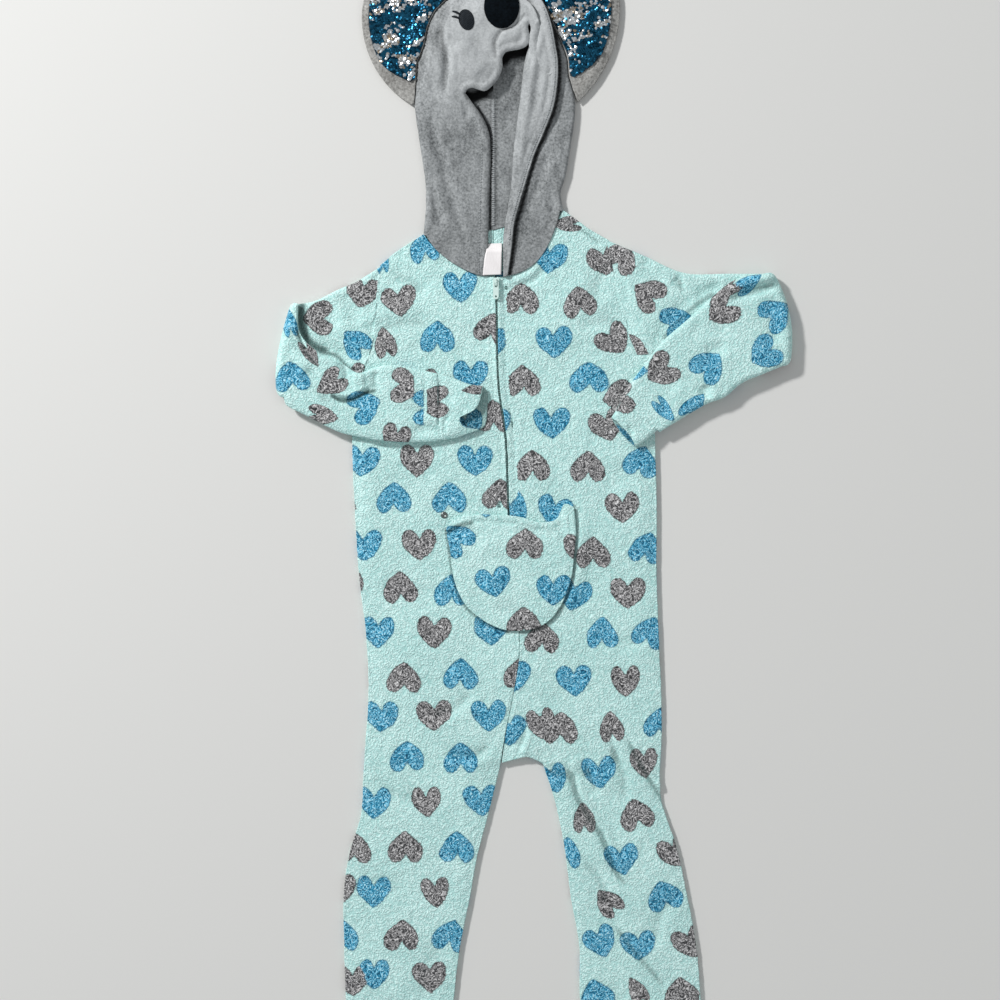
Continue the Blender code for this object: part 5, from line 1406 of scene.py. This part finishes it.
def earLines(word):
    # the rim from its foot round to its tip, and the seam along the hood
    (x, y), radius, halfX, halfY, foot, tip = earCut[word]
    side = -1 if word == "left" else 1
    level = 180 if side < 0 else 360
    rim = [(x + radius * math.cos(math.radians(a)), y + radius * math.sin(math.radians(a)))
           for a in np.linspace(foot, level, 12)]
    upper = x + side * (radius - halfX)
    rim += [(upper + side * halfX * math.cos(math.radians(a)), y + halfY * math.sin(math.radians(a)))
            for a in np.linspace(0, tip, 14)[1:]]
    seam = [(px + side * 0.4, py) for px, py in hoodCut[word + "Side"] if rim[0][1] - 2 < py < rim[-1][1] - earCut["seamEnd"]]
    return rim, seam


def makeEar(word, plush, seed):
    side = -1 if word == "left" else 1
    rim, seam = earLines(word)
    outline = joinRuns([rim, [rim[-1], seam[-1]], seam[::-1], [seam[0], rim[0]]], 3.0)
    rimLine = smoothLine(rim, 5)

    def flatTop(points):
        return np.full(len(points), clothThickness)

    def puffedTop(points):
        rise = np.sin(np.clip(distanceTo(points, rimLine)[0] / 10, 0, 1) * math.pi / 2)
        return 5.5 + 3.3 * rise + 0.5 * lumps(points, 26, seed) * rise

    for part, top, under in (("back", flatTop, 1), ("front", puffedTop, 3)):
        item = flatCloth(f"ear_{word}_{part}_plush", outline, 3.4 if part == "back" else 2.4, top, plush,
                         under=under, pile=0.3, lump=5, seed=seed + len(part))
        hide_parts(f"ear_{word}_{part}")

    # the sequins are sewn in overlapping rows on a thin patch
    fine = smoothLine(rim, 3)
    wide = earCut["rim"][word] + earCut["footRim"] * (1 - easeIn(chordPlaces(fine) / 75))
    inset = [p for p in fine - outwardOfRun(fine, side) * wide[:, None]
             if distanceTo(np.array([p]), np.array(seam, float))[0][0] > 5 and side * p[0] > side * np.interp(
                 p[1], [q[1] for q in seam], [q[0] for q in seam])]
    inset = np.array(inset)
    base = smoothLine([(x + side * 1.2, y) for x, y in seam], 3)
    base = base[(base[:, 1] > inset[:, 1].min() + 1) & (base[:, 1] < inset[:, 1].max() - 1)]
    patch = np.vstack([inset, base[::-1]])
    if (patch[:, 0] * np.roll(patch[:, 1], -1) - patch[:, 1] * np.roll(patch[:, 0], -1)).sum() < 0:
        patch = patch[::-1]
    low = earCut["patchHeight"]
    item = flatCloth(f"ear_{word}_sequin_patch", patch, 4, lambda points: np.full(len(points), low + 0.7),
                     sequinBacking, thickness=0.7, pile=0.05, under=2, seed=seed)
    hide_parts(f"ear_{word}_sequins")
    random = np.random.default_rng(seed)
    points, faces, shades = [], [], []
    pitch, radius = earCut["pitch"], earCut["sequin"] / 2
    closed = np.vstack([patch, patch[:1]])
    places = []
    for row, y in enumerate(np.arange(patch[:, 1].min(), patch[:, 1].max(), pitch * 0.8)):
        for x in np.arange(patch[:, 0].min(), patch[:, 0].max(), pitch):
            places.append((x + row % 2 * pitch / 2 + random.uniform(-0.5, 0.5), y + random.uniform(-0.5, 0.5)))
    places = np.array(places)
    inside = np.zeros(len(places), bool)
    for (x0, y0), (x1, y1) in zip(closed, closed[1:]):
        if y0 != y1:
            crosses = (y0 > places[:, 1]) != (y1 > places[:, 1])
            inside ^= crosses & (places[:, 0] < x0 + (places[:, 1] - y0) * (x1 - x0) / (y1 - y0))
    places = places[inside & (distanceTo(places, closed)[0] > 1.6)]
    slanted = places @ np.array([[0.9, -0.44], [0.44, 0.9]])
    brushed = lumps(slanted * (0.5, 1.5), 12, seed + 4) + 0.5 * lumps(slanted * (0.6, 1.8), 6, seed + 5)
    # the scales lie over in strokes, each stroke leaning its own way
    strokes = 200 * lumps(places * (1, 1.8), 13, seed + 6) + 90 * lumps(places, 30, seed + 7)
    for (x, y), stroke, way in zip(places, brushed, strokes):
        lean, toward, turn = random.normal(17, 9), way + random.normal(0, 22), random.uniform(0, 45)
        silver = stroke + random.normal(0, 0.26) > earCut["silverFrom"][word]
        shades.append((0.5 + 0.5 * random.random() if silver else 0.3 * random.random()))
        first = len(points)
        axis = np.array([math.cos(math.radians(toward)), math.sin(math.radians(toward))])
        slope = math.tan(math.radians(max(-32, min(36, lean))))
        centre = low + 1.5 + random.uniform(0, 0.7)
        for height in (0.12, -0.12):
            points.append((x, y, centre + height + (0.25 if height > 0 else 0.13)))
        for step in range(8):
            angle = math.radians(turn + 45 * step)
            dx, dy = radius * math.cos(angle), radius * math.sin(angle)
            points.append((x + dx, y + dy, max(low + 0.75, centre + slope * (dx * axis[0] + dy * axis[1]))))
        for step in range(8):
            a, b = first + 2 + step, first + 2 + (step + 1) % 8
            faces += [(first, a, b), (first + 1, b, a)]
    item = makePiece(f"ear_{word}_sequin_discs", points, faces, sequinFilm, smooth=False)
    layer = item.data.attributes.new("shade", "FLOAT", "POINT")
    layer.data.foreach_set("value", np.repeat(np.array(shades, np.float32), 10))


def outwardOfRun(line, side):
    ahead = np.gradient(line, axis=0)
    ahead /= np.linalg.norm(ahead, axis=1)[:, None]
    return np.column_stack([ahead[:, 1], -ahead[:, 0]]) * side


def sequinMaterials():
    # reversible paillettes, metallised PET film: blue on one side, silver-gold on the other
    look = {"blue": "205E7C", "deep": "0A2B3D", "silver": "DDE1E3", "gold": "A4937C", "backing": "17384A"}
    made, tree, shader = newMaterial("sequinFilmMetallised", Metallic=0.9, Roughness=0.24)
    shade = addNode(tree, "Attribute", {"attribute_name": "shade"})
    ramp = addNode(tree, "ValToRGB", None, {0: shade.outputs["Fac"]})
    ramp.color_ramp.interpolation = "LINEAR"
    stops = ((0, "deep"), (0.16, "blue"), (0.3, "blue"), (0.5, "gold"), (0.72, "silver"))
    for number, (place, key) in enumerate(stops):
        stop = ramp.color_ramp.elements[number] if number < 2 else ramp.color_ramp.elements.new(place)
        stop.position, stop.color = place, hexColour(look[key])
    tree.links.new(ramp.outputs[0], shader.inputs["Base Color"])
    place = addNode(tree, "TexCoord").outputs["Object"]
    grain = addNode(tree, "TexNoise", {"Scale": 1000 / 2.2, "Detail": 1}, {"Vector": place})
    rough = addNode(tree, "MapRange", {1: 0.3, 2: 0.7, 3: 0.16, 4: 0.34}, {0: grain.outputs[0]})
    tree.links.new(rough.outputs[0], shader.inputs["Roughness"])
    backing, tree, shader = newMaterial("sequinBackingKnitted", Roughness=0.8)
    place = addNode(tree, "TexCoord").outputs["Object"]
    mesh = addNode(tree, "TexVoronoi", {"Scale": 1000 / 2.0}, {"Vector": place})
    colour = mixColours(tree, mesh.outputs["Distance"], look["backing"], "0A1C26")
    tree.links.new(colour, shader.inputs["Base Color"])
    return made, backing


print("ears")
sequinFilm, sequinBacking = sequinMaterials()
makeEar("left", earVelour, 120)
makeEar("right", earVelour, 140)


# face

faceCut = {
    "eye": (-80, 642, 9.6, 13.6, 16), "hiddenEye": (12, 640, 8, 12, -12), "nose": (-36, 658, 22, 27, 0),
    "lashes": [((-87, 648), (-97.5, 653.5)), ((-88, 643), (-98, 646.5))],
}


def ovalLine(x, y, halfX, halfY, lean, count=72, grow=0.0):
    turn = math.radians(lean)
    angles = np.linspace(0, 2 * math.pi, count, endpoint=False)
    dx, dy = (halfX + grow) * np.cos(angles), (halfY + grow) * np.sin(angles)
    return np.column_stack([x + dx * math.cos(turn) - dy * math.sin(turn), y + dx * math.sin(turn) + dy * math.cos(turn)])


def makeApplique(name, node, oval, skin, thick, dome, word, pile, fromHeight=60.0):
    outline = ovalLine(*oval)
    tree = hoodTrees[word]

    def topOf(points):
        local = points - oval[:2]
        reach = np.clip(np.hypot(local[:, 0] / oval[2], local[:, 1] / oval[3]), 0, 1)
        return laidOn(tree, points, fromHeight) + thick + dome * (1 - reach ** 2)

    item = flatCloth(name, outline, 1.4, topOf, skin, thickness=thick, under=1.5, pile=pile, lump=2.5, seed=170,
                     bottomOf=lambda points: laidOn(tree, points, fromHeight) + 0.05)
    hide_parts(node)


def strandTube(points, radius, sides=6):
    # a short round thread along its points, closed at both ends
    points = np.asarray(points, float)
    ahead = np.gradient(points, axis=0)
    ahead /= np.linalg.norm(ahead, axis=1)[:, None]
    across = np.cross(ahead, (0, 0, 1.0))
    across /= np.maximum(np.linalg.norm(across, axis=1), 1e-6)[:, None]
    up = np.cross(across, ahead)
    angles = np.linspace(0, 2 * math.pi, sides, endpoint=False)
    radii = radius * np.sin(np.linspace(0.25, math.pi - 0.25, len(points))) ** 0.4
    rings = [p + r * (np.outer(np.cos(angles), a) + np.outer(np.sin(angles), u))
             for p, r, a, u in zip(points, radii, across, up)]
    verts = np.vstack(rings)
    faces = []
    for level in range(len(points) - 1):
        for step in range(sides):
            a, b = level * sides + step, level * sides + (step + 1) % sides
            faces.append((a, b, b + sides, a + sides))
    faces.append(tuple(range(sides))[::-1])
    faces.append(tuple((len(points) - 1) * sides + step for step in range(sides)))
    return verts, faces


def joinedStrands(name, strands, skin):
    points, faces, base = [], [], 0
    for verts, quads in strands:
        points.append(verts)
        faces += [tuple(v + base for v in face) for face in quads]
        base += len(verts)
    item = makePiece(name, np.vstack(points), faces, skin)
    return item


def darkMaterials():
    # polyester fleece dyed black for the nose, and dense satin stitch for the eye
    nosePlush = velourMaterial("plushBlack", "0A1218", "010203", 3.0, sheen=0.04, shine=0.06)
    made, tree, shader = newMaterial("eyeSatinStitch", **{"Roughness": 0.6, "Specular IOR Level": 0.12})
    place = addNode(tree, "TexCoord").outputs["Object"]
    turned = addNode(tree, "Mapping", {"Rotation": (0, 0, 0.9)}, {"Vector": place})
    threads = addNode(tree, "TexWave", {"Scale": 1000 / 1.1 / 6.283, "Distortion": 3, "Detail": 2, "Detail Scale": 3},
                      {"Vector": turned})
    colour = mixColours(tree, threads.outputs["Fac"], "030508", "252C32")
    tree.links.new(colour, shader.inputs["Base Color"])
    bump = addNode(tree, "Bump", {"Strength": 0.5, "Distance": 0.0004}, {"Height": threads.outputs["Fac"]})
    tree.links.new(bump.outputs[0], shader.inputs["Normal"])
    return nosePlush, made


print("face")
blackPlush, eyeStitch = darkMaterials()
hoodTrees = {"left": treeOf("hood_left_plush"), "right": treeOf("hood_right_plush")}
makeApplique("nose_plush", "nose", faceCut["nose"], blackPlush, 1.6, 2.0, "left", 0.25)
makeApplique("eye_left_stitched", "eye_left", faceCut["eye"], eyeStitch, 0.8, 0.5, "left", 0.05)
makeApplique("eye_right_stitched", "eye_right", faceCut["hiddenEye"], eyeStitch, 0.8, 0.3, "right", 0.05, 12.5)
lashes = []
for start, end in faceCut["lashes"]:
    line = np.linspace(start, end, 7)
    line[:, 1] += 0.9 * np.sin(np.linspace(0, math.pi, 7))
    lashes.append(strandTube(np.column_stack([line, laidOn(hoodTrees["left"], line) + 0.4]), 1.5))
joinedStrands("eye_left_lashes", lashes, eyeStitch)


# zip, snap, label and stitching

zipCut = {"pitch": 1.9, "low": 36, "high": 308, "toothHeight": 6.6}


def trimMaterials():
    # enamelled zinc: a thin glossy coat of paint on die-cast metal
    enamel, tree, shader = newMaterial("enamelledZinc", **{"Roughness": 0.32, "Coat Weight": 0.4})
    place = addNode(tree, "TexCoord").outputs["Object"]
    mottle = addNode(tree, "TexNoise", {"Scale": 1000 / 3, "Detail": 3}, {"Vector": place})
    tree.links.new(mixColours(tree, mottle.outputs[0], "C9E6DF", "E4F4EF"), shader.inputs["Base Color"])
    # nickel-plated steel, stamped and a little tarnished
    nickel, tree, shader = newMaterial("nickelPlatedSteel", Metallic=1.0, Roughness=0.35)
    place = addNode(tree, "TexCoord").outputs["Object"]
    worn = addNode(tree, "TexNoise", {"Scale": 1000 / 1.5, "Detail": 3}, {"Vector": place})
    tree.links.new(mixColours(tree, worn.outputs[0], "4E5452", "A7ADAB"), shader.inputs["Base Color"])
    # nylon coil and woven polyester tape
    coil, tree, shader = newMaterial("nylonCoilZip", Roughness=0.4)
    place = addNode(tree, "TexCoord").outputs["Object"]
    weave = addNode(tree, "TexWave", {"Scale": 1000 / 1.3 / 6.283, "bands_direction": "Y"}, {"Vector": place})
    tree.links.new(mixColours(tree, weave.outputs["Fac"], "3E5A58", "7FA39E"), shader.inputs["Base Color"])
    # satin label: smooth warp-faced ribbon, left without any print
    satin, tree, shader = newMaterial("satinRibbonWhite", **{"Roughness": 0.45, "Sheen Weight": 0.4})
    place = addNode(tree, "TexCoord").outputs["Object"]
    warp = addNode(tree, "TexNoise", {"Scale": 1000 / 0.9, "Detail": 2}, {
        "Vector": addNode(tree, "Mapping", {"Scale": (1, 0.12, 1)}, {"Vector": place})})
    tree.links.new(mixColours(tree, warp.outputs[0], "E9E2E2", "FBF8F7"), shader.inputs["Base Color"])
    bump = addNode(tree, "Bump", {"Strength": 0.3, "Distance": 0.0003}, {"Height": warp.outputs[0]})
    tree.links.new(bump.outputs[0], shader.inputs["Normal"])
    # spun polyester sewing thread
    thread, tree, shader = newMaterial("sewingThreadGrey", **{"Roughness": 0.6, "Sheen Weight": 0.3})
    place = addNode(tree, "TexCoord").outputs["Object"]
    twist = addNode(tree, "TexNoise", {"Scale": 1000 / 0.8, "Detail": 1}, {"Vector": place})
    tree.links.new(mixColours(tree, twist.outputs[0], "8E9294", "C6CACC"), shader.inputs["Base Color"])
    return enamel, nickel, coil, satin, thread


def makeZipCoil(skin):
    line = smoothLine([(x, y) for x, y in bodyCut["centre"]], 0.5)
    points, faces = [], []
    heights = np.arange(zipCut["low"], zipCut["high"], zipCut["pitch"])
    xs = np.interp(heights, line[::-1, 1], line[::-1, 0])
    for number, (x, y) in enumerate(zip(xs, heights)):
        side = 1 if number % 2 else -1
        verts, quads = strandTube([(x - side * 1.0, y, zipCut["toothHeight"] - 0.3),
                                   (x - side * 0.3, y + 0.1, zipCut["toothHeight"] + 0.25),
                                   (x + side * 0.5, y, zipCut["toothHeight"] + 0.2),
                                   (x + side * 1.1, y - 0.1, zipCut["toothHeight"] - 0.3)], 0.62)
        faces += [tuple(v + len(points) for v in face) for face in quads]
        points += verts.tolist()
    item = makePiece("zip_coil", points, faces, skin)


def makeSnap(skin):
    x, y = -108, 25
    base = laidOn(treeOf("front_left_fleece"), [(x, y)])[0] - 0.2
    profile = [(0, 0.75), (0.9, 0.8), (1.3, 1.15), (1.7, 1.7), (2.4, 1.8), (3.0, 1.55), (3.5, 0.9), (3.6, 0.35),
               (3.4, 0.0), (0, 0.0)]
    steps = 32
    points, faces = [(x, y, base + profile[0][1])], []
    for radius, height in profile[1:-1]:
        radius *= 1.22
        points += [(x + radius * math.cos(2 * math.pi * s / steps), y + radius * math.sin(2 * math.pi * s / steps),
                    base + height) for s in range(steps)]
    points.append((x, y, base))
    for step in range(steps):
        following = (step + 1) % steps
        faces.append((0, 1 + step, 1 + following))
        for ring in range(len(profile) - 3):
            a = 1 + ring * steps
            faces.append((a + step, a + steps + step, a + steps + following, a + following))
        a = 1 + (len(profile) - 3) * steps
        faces.append((len(points) - 1, a + following, a + step))
    item = makePiece("snap_cap", points, faces, skin)
    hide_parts("snap")


def makeLabel(skin):
    # hangs from the neck seam and lies over the edge of the zip
    rows = [(365, -54.6, -35.4, 3.2), (360, -54.9, -35.5, 5.8), (355, -55.5, -35.7, 9.6), (350, -56.8, -36.0, 9.9),
            (338, -58.4, -36.2, 10.1), (325, -59.6, -36.6, 9.7)]
    table = np.array(rows, float)
    levels = spline(chordPlaces(table[:, [0, 3]]), table, np.linspace(0, chordPlaces(table[:, [0, 3]])[-1], 34))
    shares = np.linspace(0, 1, 15)
    sheets = []
    for thick in (0.45, 0.0):
        grid = []
        for y, left, right, z in levels:
            x = left + (right - left) * shares
            curl = 0.5 * np.sin(shares * 5 + y / 6) * np.clip((362 - y) / 20, 0, 1) + 0.7 * (shares - 0.5) ** 2
            grid.append(np.column_stack([x, np.full(15, y) + 0.8 * (shares - 0.5), z + curl + thick]))
        sheets.append(np.array(grid))
    count = sheets[0].shape[0] * 15
    points = np.vstack([s.reshape(-1, 3) for s in sheets])
    faces = []
    at = lambda layer, row, column: layer * count + row * 15 + column
    for row in range(len(levels) - 1):
        for column in range(14):
            quad = (at(0, row, column), at(0, row + 1, column), at(0, row + 1, column + 1), at(0, row, column + 1))
            faces.append(quad)
            faces.append(tuple(v + count for v in quad[::-1]))
    rim = [(0, c) for c in range(15)] + [(r, 14) for r in range(1, 34)]
    rim += [(33, c) for c in range(13, -1, -1)] + [(r, 0) for r in range(32, 0, -1)]
    for a, b in zip(rim, rim[1:] + rim[:1]):
        faces.append((at(0, *a), at(0, *b), at(1, *b), at(1, *a)))
    item = makePiece("neck_label_satin", points, faces, skin)
    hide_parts("neck_label")


def makeStitches(name, path, pitch, length, radius, tree, skin, zigzag=0.0, fromHeight=60.0, lift=0.1):
    line = smoothLine(path, pitch)
    ahead = np.gradient(line, axis=0)
    ahead /= np.linalg.norm(ahead, axis=1)[:, None]
    across = np.column_stack([-ahead[:, 1], ahead[:, 0]])
    strands = []
    for number, (point, way, side) in enumerate(zip(line, ahead, across)):
        lean = way + side * zigzag * (1 if number % 2 else -1)
        lean = lean / np.linalg.norm(lean)
        spots = np.array([point + lean * length * t for t in (-0.5, -0.2, 0.2, 0.5)])
        heights = laidOn(tree, spots, fromHeight)
        heights = heights + np.array([-0.1, lift + radius * 0.6, lift + radius * 0.6, -0.1])
        strands.append(strandTube(np.column_stack([spots, heights]), radius, 5))
    return joinedStrands(name, strands, skin)


print("trims")
enamel, nickel, coilNylon, satin, greyThread = trimMaterials()
makeZipCoil(coilNylon)
makeSnap(nickel)
makeLabel(satin)
for node, skin in (("zip_slider", enamel), ("zip_pull_tab", enamel), ("zip_tape_left", coilNylon),
                   ("zip_tape_right", coilNylon)):
    item = bpy.data.objects[node]
    item.data.materials.clear()
    item.data.materials.append(skin)
seamTree = treeOf("hood_left_plush", "hood_right_plush")
makeStitches("hood_centre_seam_stitches", [(-46.4, 388), (-46.4, 450), (-46.2, 540)], 2.4, 4.4, 0.55,
             seamTree, greyThread, zigzag=4.0, fromHeight=10.5, lift=0.3)
makeStitches("hood_flap_stitches", [(x - 10, y) for x, y in hoodCut["flap"][1:7]], 3.4, 2.4, 0.4,
             hoodTrees["left"], greyThread)
makeStitches("hood_lapel_stitches", [(x - 2.5, y + 1) for x, y in hoodCut["lapelFree"][1:13]], 3.0, 2.6, 0.5,
             hoodTrees["right"], greyThread, zigzag=0.5)


# camera, light and floor

def makeStudio():
    studio = {
        "cameraHeight": 3.4, "frameWidth": 1.25, "frameCentre": (-0.0381, 0.0438),
        "floorColour": "DCDBD8", "world": 0.39, "key": 198, "fill": 7,
    }
    camera = bpy.data.objects.new("camera", bpy.data.cameras.new("camera"))
    bpy.context.scene.collection.objects.link(camera)
    camera.location = (*studio["frameCentre"], studio["cameraHeight"])
    camera.data.sensor_width = 36
    camera.data.lens = 36 * (studio["cameraHeight"] - 0.008) / studio["frameWidth"]
    bpy.context.scene.camera = camera

    world = bpy.data.worlds.new("studio")
    world.use_nodes = True
    world.node_tree.nodes["Background"].inputs["Color"].default_value = (0.93, 0.97, 1, 1)
    world.node_tree.nodes["Background"].inputs["Strength"].default_value = studio["world"]
    bpy.context.scene.world = world

    for name, place, size, power in (
        ("keyLight", (-2.95, 2.6, 2.55), 0.5, studio["key"]), ("fillLight", (1.8, -0.9, 2.2), 1.6, studio["fill"]),
    ):
        light = bpy.data.lights.new(name, "AREA")
        light.shape, light.size, light.energy = "DISK", size, power
        lamp = bpy.data.objects.new(name, light)
        bpy.context.scene.collection.objects.link(lamp)
        lamp.location = place
        lamp.rotation_euler = (Vector((0, 0.05, 0)) - Vector(place)).to_track_quat("-Z", "Y").to_euler()

    made, tree, shader = newMaterial("paintedFloor", Roughness=0.9)
    shader.inputs["Base Color"].default_value = hexColour(studio["floorColour"])
    mesh = bpy.data.meshes.new("floor")
    mesh.from_pydata([(x, y, -0.0004) for x, y in ((-6, -6), (6, -6), (6, 6), (-6, 6))], [], [(0, 1, 2, 3)])
    mesh.materials.append(made)
    floor = bpy.data.objects.new("floor", mesh)
    bpy.context.scene.collection.objects.link(floor)
    bpy.context.scene.view_settings.view_transform = "Standard"


print("studio")
makeStudio()
